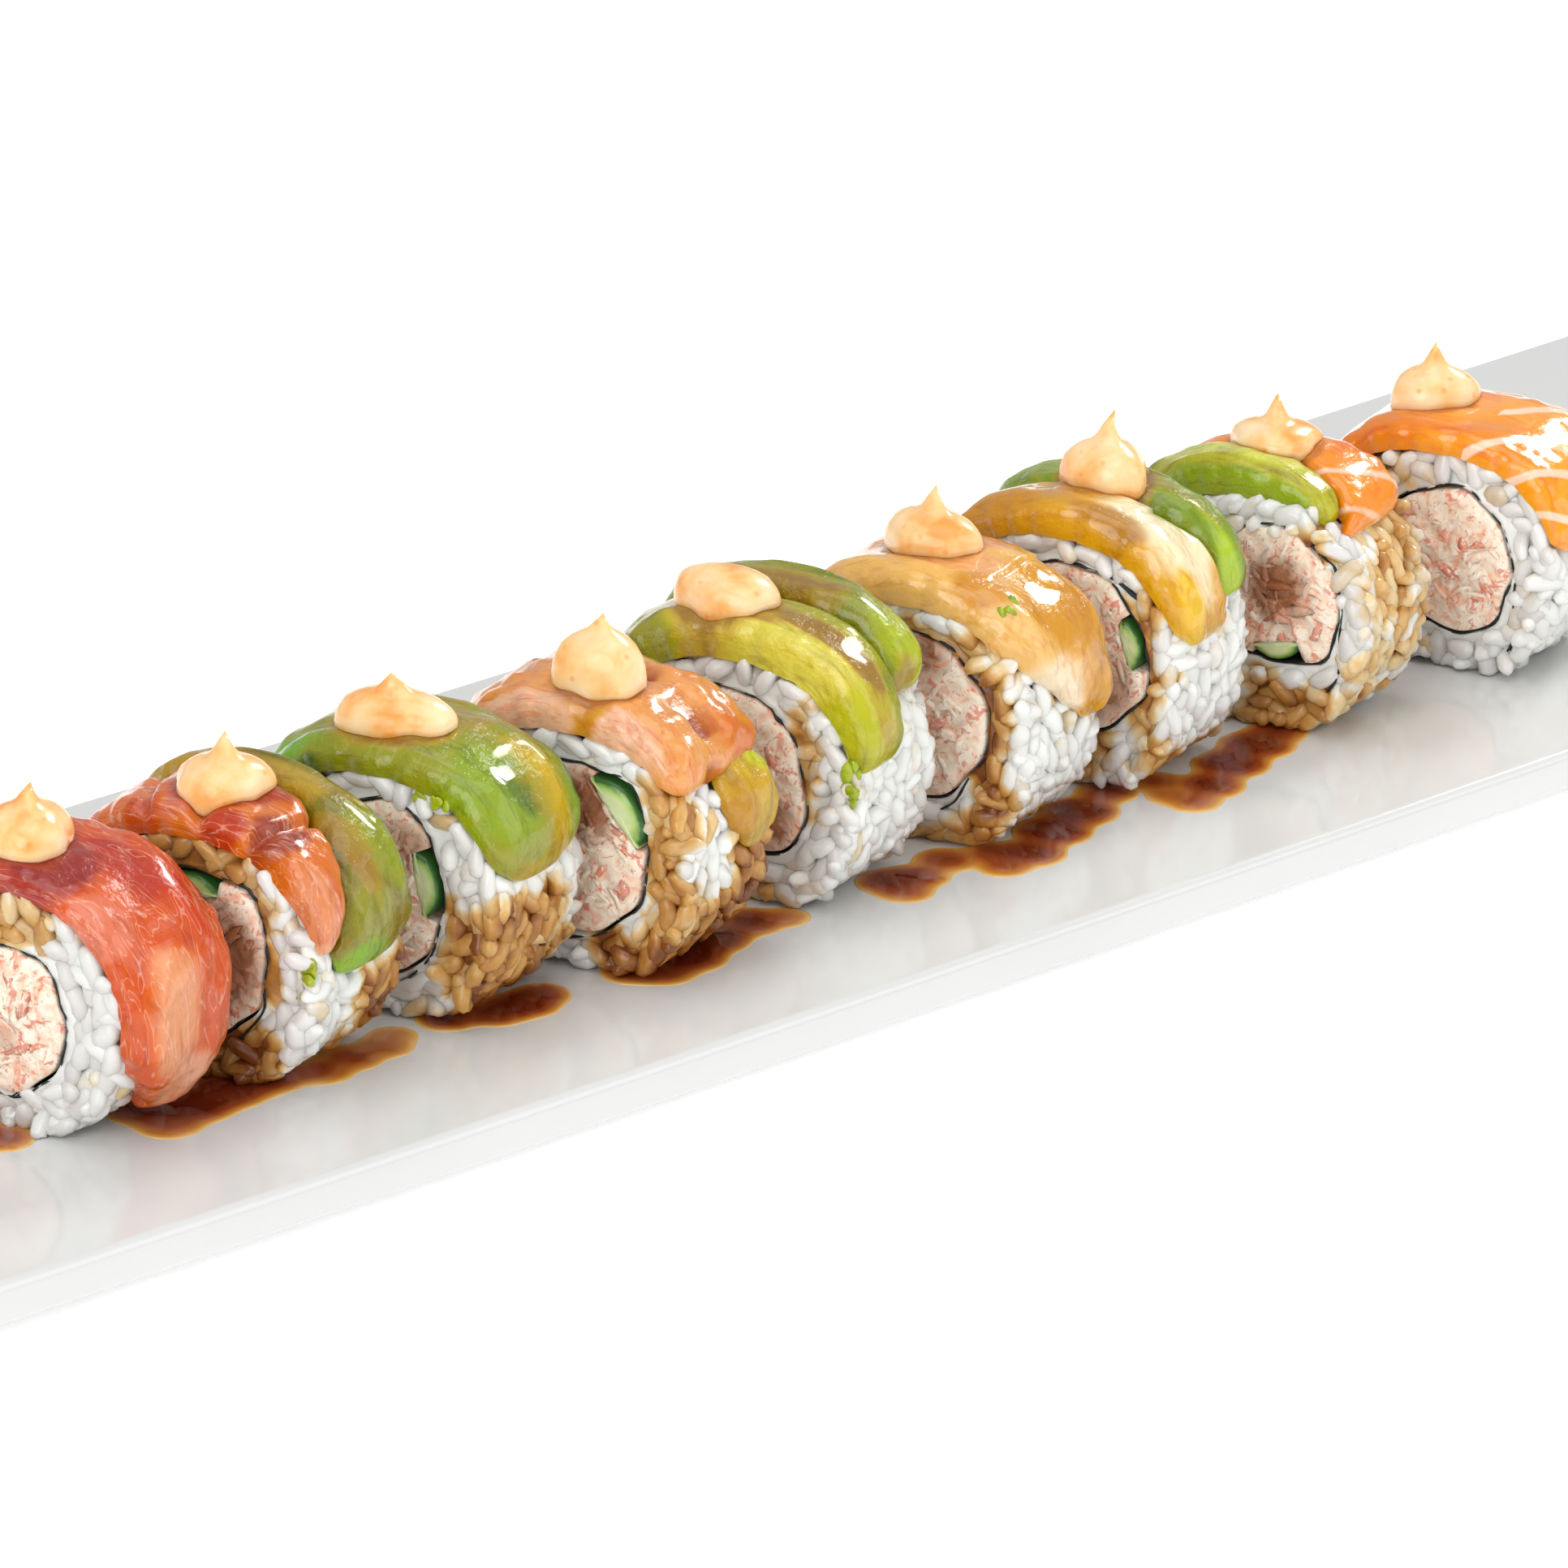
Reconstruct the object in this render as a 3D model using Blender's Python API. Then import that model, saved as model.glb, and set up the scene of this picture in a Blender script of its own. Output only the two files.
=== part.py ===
"""Rainbow roll: nine slices of an inside-out sushi roll in a row on a long porcelain plate.

The origin is under the middle of the plate. +X runs along the plate and the row, +Y to the
plate's back edge and +Z up. Each slice is modelled in its own frame under an empty: x runs
from its cut face into the slice, -y to its front and z up from the plate.
"""

import math
import random

import bmesh
import bpy
from mathutils import Vector
from mathutils.bvhtree import BVHTree

MM = 0.001

# Gaps left between neighbouring solids, in millimetres
GAP = 0.32
DOLLOP_GAP = 0.6
CRAB_GAP = 0.8
STRIP_GAP = 0.9
STRIP_BACK_GAP = 0.2
STRIP_SKIN_GAP = 0.15
SLICE_LIFT = 0.1

# Plate, in millimetres
PLATE_LENGTH = 460.0
PLATE_WIDTH = 128.5
PLATE_THICKNESS = 6.0
PLATE_CORNER_RADIUS = 7.0
PLATE_TOP_EDGE = 1.6
PLATE_UNDER_EDGE = 0.8
PLATE_END_RISE = 1.3
FOOT_HEIGHT = 1.5
FOOT_INSET = 14.0
FOOT_SLOPE = 1.5
PLATE_COLUMNS = 16
CORNER_COLUMNS = 4
SMALLEST_CORNER = 0.5
EDGE_SOFTENING = 0.3

# Slices, in millimetres
TURN = math.radians(18.0)
RICE_HALF_WIDTH = 20.0
RICE_SQUARENESS = 2.3
CORE_SQUARENESS = 2.2
RICE_UNEVENNESS = 0.012
BOTTOM_SINK = 1.4
RICE_COLUMNS = 32
GRAIN_BUMP = 0.75
CUT_BUMP = 0.5
CUT_BULGE = 0.3
CUT_ROUNDING = 0.5
RICE_RINGS = (0.21, 0.4, 0.6, 0.79)
NORI_THICKNESS = 0.8
NORI_SETBACK = 0.2
NORI_COLUMNS = 18
CRAB_COLUMNS = 12
CRAB_BUMP = 0.7
CRAB_INNER_RING = 0.55
END_OVERHANG = 8.0
SEED = 23

# How thick a topping is at each point of its cross-section: part of the way from its near edge to
# its far one, millimetres added to that, and part of its full thickness.
TOPPING_PROFILE = ((0.0, 0.0, 0.0), (0.0, 0.0, 0.62), (0.0, 2.4, 0.97), (0.5, 0.0, 1.04),
                   (1.0, -2.4, 0.97), (1.0, 0.0, 0.62), (1.0, 0.0, 0.0))
END_THINNING = (0.34, 0.72, 0.94)
END_NARROWING = 0.16
TOPPING_BUMP = 0.2
TOPPING_LOWEST = 1.2
FULL_ROUNDING_WIDTH = 9.0
NEAR_FACE = 0.5
COVER_MARGIN = 3.5

# Rings of a dollop, each a part of its radius and of its dome's height
DOLLOP_RINGS = ((0.5, 0.0), (0.92, 0.0), (1.0, 0.24), (0.93, 0.5), (0.68, 0.8), (0.3, 1.0))
DOLLOP_COLUMNS = 10
DOLLOP_SAG = 2.0
PROBE_REACH = 1.6

# Points over a cucumber strip's rounded skin, as parts of its half width
STRIP_PARTS = (0.86, 0.45, 0.0, -0.45, -0.86)
STRIP_CURVE = 0.75
STRIP_STANDS_OUT = 0.4

# Each slice: where its cut face stands (x, y), its thickness, the height of its rice, and the
# middle (front, height) and half sizes of its core.
SLICES = (
    {"place": (-170.2, -22.2), "thick": 22.0, "rice": 34.0, "core": (-0.5, 15.8), "half": (11.6, 10.3)},
    {"place": (-139.5, -25.4), "thick": 22.0, "rice": 34.5, "core": (0.5, 18.4), "half": (11.6, 11.9)},
    {"place": (-106.9, -24.7), "thick": 22.0, "rice": 35.0, "core": (-0.5, 19.0), "half": (11.4, 12.2)},
    {"place": (-76.6, -29.5), "thick": 22.0, "rice": 35.0, "core": (1.0, 18.6), "half": (12.0, 12.6)},
    {"place": (-42.3, -25.3), "thick": 22.0, "rice": 35.8, "core": (-0.3, 18.4), "half": (11.6, 12.4)},
    {"place": (-9.3, -24.6), "thick": 22.0, "rice": 35.4, "core": (0.8, 19.0), "half": (11.8, 12.6)},
    {"place": (21.6, -22.6), "thick": 22.0, "rice": 37.6, "core": (2.6, 20.8), "half": (11.8, 12.8)},
    {"place": (57.5, -24.1), "thick": 21.0, "rice": 34.8, "core": (4.2, 20.6), "half": (11.6, 10.4)},
    {"place": (94.6, -26.2), "thick": 22.0, "rice": 33.6, "core": (1.0, 17.0), "half": (11.6, 10.9)},
)

# Each topping: its slice, its fish or fruit, its thickness, and where it runs. "near" and "far"
# are its two long edges, as (degrees from the top towards the front, millimetres from the cut
# face); "ends" are the heights above the plate of its back end and its front end.
TOPPINGS = (
    {"slice": 1, "kind": "tuna", "thick": 4.6, "ends": (14, 3.5),
     "near": ((-90, 0), (60, 0), (95, 0), (125, 7)), "far": ((-90, 22), (60, 22), (100, 20), (125, 15))},
    {"slice": 2, "kind": "tuna", "thick": 4.6, "ends": (16, 21.5),
     "near": ((-90, 0), (90, 0)), "far": ((-90, 19), (-45, 17.5), (15, 15), (45, 8.5), (80, 3.6))},
    {"slice": 2, "kind": "avocado", "thick": 4.8, "ends": (18, 16.5),
     "near": ((-90, 19), (-45, 17.5), (15, 15), (45, 8.5), (80, 3.6), (100, 1.5)),
     "far": ((-90, 22), (60, 22), (100, 20))},
    {"slice": 3, "kind": "avocado", "thick": 5.0, "ends": (16, 19.0),
     "near": ((-90, 0), (90, 0)), "far": ((-90, 22), (60, 22), (90, 18))},
    {"slice": 4, "kind": "shrimp", "thick": 5.2, "ends": (17, 28.0),
     "near": ((-90, 0), (90, 0)), "far": ((-90, 22), (90, 22))},
    {"slice": 4, "kind": "avocado", "thick": 3.2, "ends": (26.5, 19.5), "front_only": True,
     "near": ((40, 10), (75, 10), (100, 12)), "far": ((40, 22), (100, 22))},
    {"slice": 5, "kind": "avocado", "thick": 6.2, "ends": (17, 19.5),
     "near": ((-90, 0), (90, 0)), "far": ((-90, 12), (-30, 13.5), (45, 12), (80, 9.5), (100, 8))},
    {"slice": 5, "kind": "avocado", "thick": 7.4, "ends": (20, 29.0),
     "near": ((-90, 12), (-30, 13.5), (45, 12), (80, 9.5), (100, 8)), "far": ((-90, 22), (90, 22))},
    {"slice": 6, "kind": "whitefish", "thick": 5.0, "ends": (15, 18.5),
     "near": ((-90, 0), (40, 0), (62, 4), (90, 14)), "far": ((-90, 22), (90, 22))},
    {"slice": 7, "kind": "whitefish", "thick": 4.8, "ends": (18, 20.5),
     "near": ((-90, 0), (60, 0), (95, 5)), "far": ((-90, 15), (-30, 13), (20, 12), (50, 14), (90, 16))},
    {"slice": 7, "kind": "avocado", "thick": 5.0, "ends": (22, 26.5),
     "near": ((-90, 15), (-30, 13), (20, 12), (50, 14), (90, 16)), "far": ((-90, 22), (90, 22))},
    {"slice": 8, "kind": "avocado", "thick": 5.4, "ends": (18, 32.0),
     "near": ((-90, 1), (0, 1.5), (35, 2)), "far": ((-90, 11), (0, 11), (35, 6))},
    {"slice": 8, "kind": "salmon", "thick": 5.0, "ends": (20, 29.0),
     "near": ((-90, 11), (0, 11), (35, 6), (45, 0), (90, 2)), "far": ((-90, 21), (90, 21))},
    {"slice": 9, "kind": "salmon", "thick": 4.2, "ends": (16, 21.5),
     "near": ((-90, 0), (90, 0)), "far": ((-90, 22), (90, 22))},
)

# Cucumber strips beside the crab: slice, degrees from the top of the core, depth, half width
CUCUMBERS = ((1, -48, 3.4, 4.2), (2, -2, 3.0, 4.6), (3, 82, 3.2, 5.0), (4, 52, 4.2, 6.0),
             (7, 78, 2.8, 3.8), (8, 172, 2.6, 4.0), (9, -142, 3.0, 3.6))

# Dollops of sauce: slice, distance from the cut face, distance behind the middle, radii along
# and across, height of the dome, height of the peak and its lean
DOLLOPS = ((1, 9.0, 0.5, 6.4, 6.8, 5.2, 8.0, 1.0), (2, 8.8, 0.2, 6.2, 7.0, 4.6, 8.2, 0.6),
           (3, 8.2, 1.9, 5.8, 8.8, 4.6, 7.4, -0.6), (4, 7.0, -1.3, 5.6, 6.4, 7.0, 9.4, 0.8),
           (5, 6.2, 5.0, 5.8, 7.8, 4.6, 4.9, 0.0), (6, 12.5, 3.2, 5.8, 7.6, 4.4, 8.0, 1.2),
           (7, 14.2, 0.2, 6.0, 7.0, 5.6, 9.6, 2.6), (8, 13.0, 2.2, 5.6, 7.2, 3.2, 7.4, 0.4),
           (9, 11.4, 6.8, 5.8, 6.6, 5.2, 9.0, 0.4))

# Colour (linear), roughness and metallic value of each material
LOOKS = {
    "porcelain": ((0.86, 0.86, 0.84), 0.12, 0.0),
    "rice": ((0.80, 0.78, 0.70), 0.45, 0.0),
    "nori": ((0.012, 0.018, 0.014), 0.5, 0.0),
    "crab": ((0.80, 0.50, 0.38), 0.5, 0.0),
    "cucumber": ((0.30, 0.48, 0.12), 0.35, 0.0),
    "tuna": ((0.62, 0.13, 0.08), 0.25, 0.0),
    "avocado": ((0.32, 0.40, 0.05), 0.3, 0.0),
    "shrimp": ((0.72, 0.30, 0.12), 0.25, 0.0),
    "whitefish": ((0.74, 0.44, 0.16), 0.2, 0.0),
    "salmon": ((0.85, 0.30, 0.09), 0.25, 0.0),
    "mayonnaise": ((0.88, 0.55, 0.25), 0.25, 0.0),
}


def clear_scene():
    """Removes whatever the opened file holds."""
    for item in list(bpy.data.objects):
        bpy.data.objects.remove(item, do_unlink=True)


def material(name):
    """The named material, made on its first use."""
    found = bpy.data.materials.get(name)
    if found:
        return found
    colour, roughness, metallic = LOOKS[name]
    made = bpy.data.materials.new(name)
    made.use_nodes = True
    shader = made.node_tree.nodes["Principled BSDF"]
    shader.inputs["Base Color"].default_value = (*colour, 1.0)
    shader.inputs["Roughness"].default_value = roughness
    shader.inputs["Metallic"].default_value = metallic
    made.diffuse_color = (*colour, 1.0)
    return made


def add_piece(name, points, faces, look, parent=None):
    """One closed body from points in millimetres, with its faces turned outwards."""
    mesh = bpy.data.meshes.new(name)
    mesh.from_pydata([Vector(point) * MM for point in points], [], faces)
    work = bmesh.new()
    work.from_mesh(mesh)
    bmesh.ops.recalc_face_normals(work, faces=work.faces)
    work.to_mesh(mesh)
    work.free()
    mesh.shade_smooth()
    mesh.set_sharp_from_angle(angle=math.radians(40))
    mesh.materials.append(material(look))
    piece = bpy.data.objects.new(name, mesh)
    piece.parent = parent
    bpy.context.scene.collection.objects.link(piece)
    return piece


def grid_faces(rings, columns, close_rings=False):
    """Quads over rings of points whose columns close on themselves."""
    faces = []
    for ring in range(rings if close_rings else rings - 1):
        following = (ring + 1) % rings
        for column in range(columns):
            beside = (column + 1) % columns
            faces.append((ring * columns + column, ring * columns + beside,
                          following * columns + beside, following * columns + column))
    return faces


def fan(tip, first, columns):
    """Triangles from one ring of points to a single point."""
    return [(tip, first + column, first + (column + 1) % columns) for column in range(columns)]


def between(knots, at):
    """Straight-line value between (position, value) knots."""
    if at <= knots[0][0]:
        return knots[0][1]
    for (start, low), (end, high) in zip(knots, knots[1:]):
        if at <= end:
            return low + (high - low) * (at - start) / (end - start)
    return knots[-1][1]


def oval(angle, half_width, half_height, squareness):
    """Front and height of a rounded square, at an angle from its top towards the front."""
    front = math.copysign(abs(math.sin(angle)) ** (2 / squareness), math.sin(angle))
    height = math.copysign(abs(math.cos(angle)) ** (2 / squareness), math.cos(angle))
    return front * half_width, height * half_height


def rice_outline(slice_row, angle, out=0.0):
    """Point (y, z) on the rice's outer skin, or a distance outside it."""
    half_height = (slice_row["rice"] + BOTTOM_SINK) / 2
    uneven = 1 + RICE_UNEVENNESS * math.sin(2 * angle + slice_row["place"][0])
    front, height = oval(angle, RICE_HALF_WIDTH * uneven + out, half_height + out, RICE_SQUARENESS)
    return -front, max(height + slice_row["rice"] - half_height, 0.0)


def core_outline(slice_row, angle, out=0.0):
    """Point (y, z) on the core's skin, or a distance outside it."""
    half_width, half_height = slice_row["half"]
    front, height = oval(angle, half_width + out, half_height + out, CORE_SQUARENESS)
    return -slice_row["core"][0] - front, slice_row["core"][1] + height


def plate_rise(x):
    """How far the plate curves up towards its ends."""
    return PLATE_END_RISE * (2 * x / PLATE_LENGTH) ** 2


def plate_columns(inset):
    """The x of each pair of points along an outline of the plate."""
    radius = max(PLATE_CORNER_RADIUS - inset, SMALLEST_CORNER)
    straight = PLATE_LENGTH / 2 - inset - radius
    side = [straight * (2 * step / PLATE_COLUMNS - 1) for step in range(PLATE_COLUMNS + 1)]
    turn = [radius * math.sin(math.pi / 2 * step / CORNER_COLUMNS) for step in range(1, CORNER_COLUMNS + 1)]
    return [-straight - step for step in reversed(turn)] + side + [straight + step for step in turn]


def plate_ring(inset, height, follows_rise):
    """One closed outline of the plate: the front side, then the back side."""
    columns = plate_columns(inset)
    radius = max(PLATE_CORNER_RADIUS - inset, SMALLEST_CORNER)
    straight = PLATE_LENGTH / 2 - inset - radius
    points = []
    for x in columns:
        past = max(abs(x) - straight, 0.0)
        half = PLATE_WIDTH / 2 - inset - radius + math.sqrt(max(radius ** 2 - past ** 2, 0.0))
        points.append((x, -half, height + (plate_rise(x) if follows_rise else 0.0)))
    return points + [(x, -y, z) for x, y, z in reversed(points)]


def build_plate():
    """The long plate: a slab with a soft edge on a shallow foot."""
    top = FOOT_HEIGHT + PLATE_THICKNESS
    levels = (
        (FOOT_INSET + FOOT_SLOPE, 0.0, False),
        (FOOT_INSET, FOOT_HEIGHT, True),
        (PLATE_UNDER_EDGE, FOOT_HEIGHT, True),
        (0.0, FOOT_HEIGHT + PLATE_UNDER_EDGE, True),
        (0.0, top - PLATE_TOP_EDGE, True),
        (PLATE_TOP_EDGE * EDGE_SOFTENING, top - PLATE_TOP_EDGE * EDGE_SOFTENING, True),
        (PLATE_TOP_EDGE, top, True),
    )
    points = [point for level in levels for point in plate_ring(*level)]
    around = len(points) // len(levels)
    faces = grid_faces(len(levels), around)
    half = around // 2
    for first in (0, around * (len(levels) - 1)):
        for column in range(half - 1):
            faces.append((first + column, first + column + 1,
                          first + around - 2 - column, first + around - 1 - column))
    add_piece("plate", points, faces, "porcelain")


def covered(number, angle, depth):
    """True where a topping lies over this place on the rice."""
    degrees = math.degrees(angle)
    for topping in TOPPINGS:
        if topping["slice"] != number:
            continue
        first, last = topping_angles(topping)
        if not first - 1 <= degrees <= last + 1:
            continue
        near = between(topping["near"], degrees) - COVER_MARGIN
        far = between(topping["far"], degrees) + COVER_MARGIN
        if near <= depth <= far:
            return True
    return False


def build_rice(number, row, parent):
    """The ring of rice round the core, with bumps the size of its grains."""
    chance = random.Random(SEED + number)
    thick = row["thick"]
    hole = NORI_THICKNESS + GAP
    levels = [(0.0, 0.0), (-CUT_BULGE, 0.5), (CUT_ROUNDING, 1.0)]
    levels += [(thick * part, 1.0) for part in RICE_RINGS]
    levels += [(thick - CUT_ROUNDING, 1.0), (thick + CUT_BULGE, 0.5), (thick, 0.0)]
    points = []
    for depth, part in levels:
        for column in range(RICE_COLUMNS):
            angle = math.tau * column / RICE_COLUMNS
            signed = angle if angle <= math.pi else angle - math.tau
            inner = core_outline(row, angle, hole)
            outer = rice_outline(row, angle)
            if part == 1.0:
                bump = chance.uniform(-GRAIN_BUMP, GRAIN_BUMP)
                bump = -abs(bump) if covered(number, signed, depth) else bump
                outer = rice_outline(row, angle, bump)
            shift = chance.uniform(-CUT_BUMP, CUT_BUMP) if part < 1.0 else 0.0
            y = inner[0] + (outer[0] - inner[0]) * part
            z = inner[1] + (outer[1] - inner[1]) * part
            points.append((depth + shift, y, z))
    faces = grid_faces(len(levels), RICE_COLUMNS, close_rings=True)
    add_piece(f"rice_{number}", points, faces, "rice", parent)


def build_nori(number, row, parent):
    """The sheet of dried seaweed round the core."""
    points = []
    near, far = NORI_SETBACK, row["thick"] - NORI_SETBACK
    for depth, out in ((near, 0.0), (near, NORI_THICKNESS), (far, NORI_THICKNESS), (far, 0.0)):
        for column in range(NORI_COLUMNS):
            y, z = core_outline(row, math.tau * column / NORI_COLUMNS, out)
            points.append((depth, y, z))
    faces = grid_faces(4, NORI_COLUMNS, close_rings=True)
    add_piece(f"nori_{number}", points, faces, "nori", parent)


def cucumber_of(number):
    """The row of the slice's cucumber strip, or None."""
    for strip in CUCUMBERS:
        if strip[0] == number:
            return strip
    return None


def strip_frame(row, strip):
    """The core's middle, the strip's outward direction, and how far out its flat side lies."""
    angle = math.radians(strip[1])
    middle = Vector((-row["core"][0], row["core"][1]))
    skin = Vector(core_outline(row, angle, -STRIP_GAP))
    outward = (skin - middle).normalized()
    return middle, outward, (skin - middle).length - strip[2]


def build_crab(number, row, parent):
    """The crab salad that fills the core, flat where a cucumber strip lies against it."""
    chance = random.Random(SEED * 3 + number)
    strip = cucumber_of(number)
    thick = row["thick"]
    points = [(-NORI_SETBACK, -row["core"][0], row["core"][1])]
    rings = ((-CUT_BULGE, CRAB_INNER_RING), (NORI_SETBACK, 1.0), (thick - NORI_SETBACK, 1.0),
             (thick + CUT_BULGE, CRAB_INNER_RING))
    for depth, part in rings:
        for column in range(CRAB_COLUMNS):
            angle = math.tau * column / CRAB_COLUMNS
            inner = (-row["core"][0], row["core"][1])
            outer = core_outline(row, angle, -CRAB_GAP)
            y = inner[0] + (outer[0] - inner[0]) * part
            z = inner[1] + (outer[1] - inner[1]) * part
            if strip:
                middle, outward, reach = strip_frame(row, strip)
                place = Vector((y, z))
                past = (place - middle).dot(outward) - (reach - STRIP_BACK_GAP)
                if past > 0:
                    y, z = place - outward * past
            shift = chance.uniform(-CRAB_BUMP, CRAB_BUMP) if part < 1.0 else 0.0
            points.append((depth + shift, y, z))
    points.append((thick + NORI_SETBACK, -row["core"][0], row["core"][1]))
    faces = [tuple(1 + index for index in face) for face in grid_faces(4, CRAB_COLUMNS)]
    faces += fan(0, 1, CRAB_COLUMNS) + fan(len(points) - 1, 1 + 3 * CRAB_COLUMNS, CRAB_COLUMNS)
    add_piece(f"crab_{number}", points, faces, "crab", parent)


def build_cucumber(number, row, parent):
    """A strip of cucumber between the crab and the seaweed, with the skin side out."""
    strip = cucumber_of(number)
    if strip is None:
        return
    middle, outward, reach = strip_frame(row, strip)
    across = Vector((-outward.y, outward.x))
    outline = [across * strip[3] * side + outward * (reach + STRIP_BACK_GAP) for side in (-1, 1)]
    for side in STRIP_PARTS:
        height = strip[2] * (1 - STRIP_CURVE * side ** 2)
        outline.append(across * strip[3] * side + outward * (reach + height - STRIP_SKIN_GAP))
    points = []
    for depth in (-STRIP_STANDS_OUT, row["thick"] + STRIP_STANDS_OUT):
        points += [(depth, middle.x + place.x, middle.y + place.y) for place in outline]
    count = len(outline)
    faces = grid_faces(2, count) + [tuple(range(count)), tuple(range(2 * count - 1, count - 1, -1))]
    add_piece(f"cucumber_{number}", points, faces, "cucumber", parent)


def angle_at_height(row, height, side):
    """Degrees from the top at which the rice's skin is this high, on the front or the back."""
    step = 360 / RICE_COLUMNS
    angles = [step * count for count in range(1, RICE_COLUMNS // 2)]

    def off(degrees):
        return abs(rice_outline(row, math.radians(degrees * side))[1] - height)

    return min(angles, key=off) * side


def topping_angles(topping):
    """First and last degrees of a topping, from its ends' heights."""
    row = SLICES[topping["slice"] - 1]
    back_side = 1 if topping.get("front_only") else -1
    back = angle_at_height(row, topping["ends"][0], back_side)
    front = angle_at_height(row, topping["ends"][1], 1)
    return back, front


def build_topping(name, topping, parent):
    """A slice of fish or avocado draped over the rice, cut flush with the slice's faces."""
    row = SLICES[topping["slice"] - 1]
    chance = random.Random(SEED * 7 + len(name) + topping["slice"] * 11)
    first, last = topping_angles(topping)
    step = 360 / RICE_COLUMNS
    columns = round((last - first) / step) + 1
    points = []
    for column in range(columns):
        degrees = first + step * column
        near = between(topping["near"], degrees)
        far = between(topping["far"], degrees)
        near += GAP / 2 if near > NEAR_FACE else 0.0
        far -= GAP / 2 if far < row["thick"] - NEAR_FACE else 0.0
        if column in (0, columns - 1):
            narrowing = (far - near) * END_NARROWING
            near, far = near + narrowing, far - narrowing
        from_end = min(column, columns - 1 - column)
        taper = END_THINNING[from_end] if from_end < len(END_THINNING) else 1.0
        inset = min(1.0, (far - near) / FULL_ROUNDING_WIDTH)
        for along, shift, part in TOPPING_PROFILE:
            depth = near + (far - near) * along + shift * inset
            out = GAP
            if part > 0:
                out += topping["thick"] * part * taper + chance.uniform(-TOPPING_BUMP, TOPPING_BUMP)
            y, z = rice_outline(row, math.radians(degrees), out)
            points.append((depth, y, max(z, TOPPING_LOWEST)))
    count = len(TOPPING_PROFILE)
    faces = grid_faces(columns, count)
    faces += [tuple(range(count)), tuple(range(columns * count - 1, (columns - 1) * count - 1, -1))]
    return add_piece(name, points, faces, topping["kind"], parent)


def top_height(trees, x, y):
    """Height of the toppings under a point and close round it, in millimetres."""
    best = 0.0
    for step_x, step_y in ((0, 0), (1, 0), (-1, 0), (0, 1), (0, -1)):
        start = Vector(((x + step_x * PROBE_REACH) * MM, (y + step_y * PROBE_REACH) * MM, 1.0))
        for tree in trees:
            hit = tree.ray_cast(start, Vector((0.0, 0.0, -1.0)))
            if hit[0] is not None:
                best = max(best, hit[0].z / MM)
    return best


def build_dollop(row, toppings, parent):
    """A squeezed dollop of spicy mayonnaise whose underside follows the topping."""
    number, along, behind, radius_x, radius_y, dome, peak, lean = row
    trees = [BVHTree.FromPolygons([vertex.co for vertex in piece.data.vertices],
                                  [polygon.vertices for polygon in piece.data.polygons])
             for piece in toppings]
    points = []
    tallest = max(top_height(trees, along, behind), 1.0)
    points.append((along, behind, tallest + DOLLOP_GAP))
    for part, rise in DOLLOP_RINGS:
        for column in range(DOLLOP_COLUMNS):
            angle = math.tau * column / DOLLOP_COLUMNS
            x = along + radius_x * part * math.cos(angle)
            y = behind + radius_y * part * math.sin(angle)
            base = max(top_height(trees, x, y), tallest - DOLLOP_SAG)
            points.append((x, y, base + DOLLOP_GAP + dome * rise))
    points.append((along + lean, behind, tallest + peak + DOLLOP_GAP))
    faces = [tuple(1 + index for index in face) for face in grid_faces(len(DOLLOP_RINGS), DOLLOP_COLUMNS)]
    faces += fan(0, 1, DOLLOP_COLUMNS)
    faces += fan(len(points) - 1, 1 + DOLLOP_COLUMNS * (len(DOLLOP_RINGS) - 1), DOLLOP_COLUMNS)
    add_piece(f"mayonnaise_{number}", points, faces, "mayonnaise", parent)


def build_slice(number, row):
    """One slice of the roll with everything in it and on it."""
    x, y = row["place"]
    empty = bpy.data.objects.new(f"slice_{number}", None)
    bpy.context.scene.collection.objects.link(empty)
    far_x = x + row["thick"] * math.cos(TURN)
    rise = max(plate_rise(x - END_OVERHANG), plate_rise(far_x + END_OVERHANG))
    empty.location = (x * MM, y * MM, (FOOT_HEIGHT + PLATE_THICKNESS + rise + SLICE_LIFT) * MM)
    empty.rotation_euler = (0.0, 0.0, TURN)
    build_rice(number, row, empty)
    build_nori(number, row, empty)
    build_crab(number, row, empty)
    build_cucumber(number, row, empty)
    toppings = []
    kinds = {}
    for topping in TOPPINGS:
        if topping["slice"] != number:
            continue
        kinds[topping["kind"]] = kinds.get(topping["kind"], 0) + 1
        mark = "" if kinds[topping["kind"]] == 1 else "_rear"
        toppings.append(build_topping(f"{topping['kind']}{mark}_{number}", topping, empty))
    build_dollop(DOLLOPS[number - 1], toppings, empty)


def build():
    """The plate and every slice on it."""
    clear_scene()
    build_plate()
    for index, row in enumerate(SLICES):
        build_slice(index + 1, row)


build()
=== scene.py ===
"""Rainbow roll on its plate: nine slices of an inside-out sushi roll, each topped with fish,
shrimp or avocado, a dollop of spicy mayonnaise and a brown glaze that runs on to the porcelain.
"""

import math

import bmesh
import bpy
import numpy as np
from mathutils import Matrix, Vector, noise
from mathutils.bvhtree import BVHTree


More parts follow.
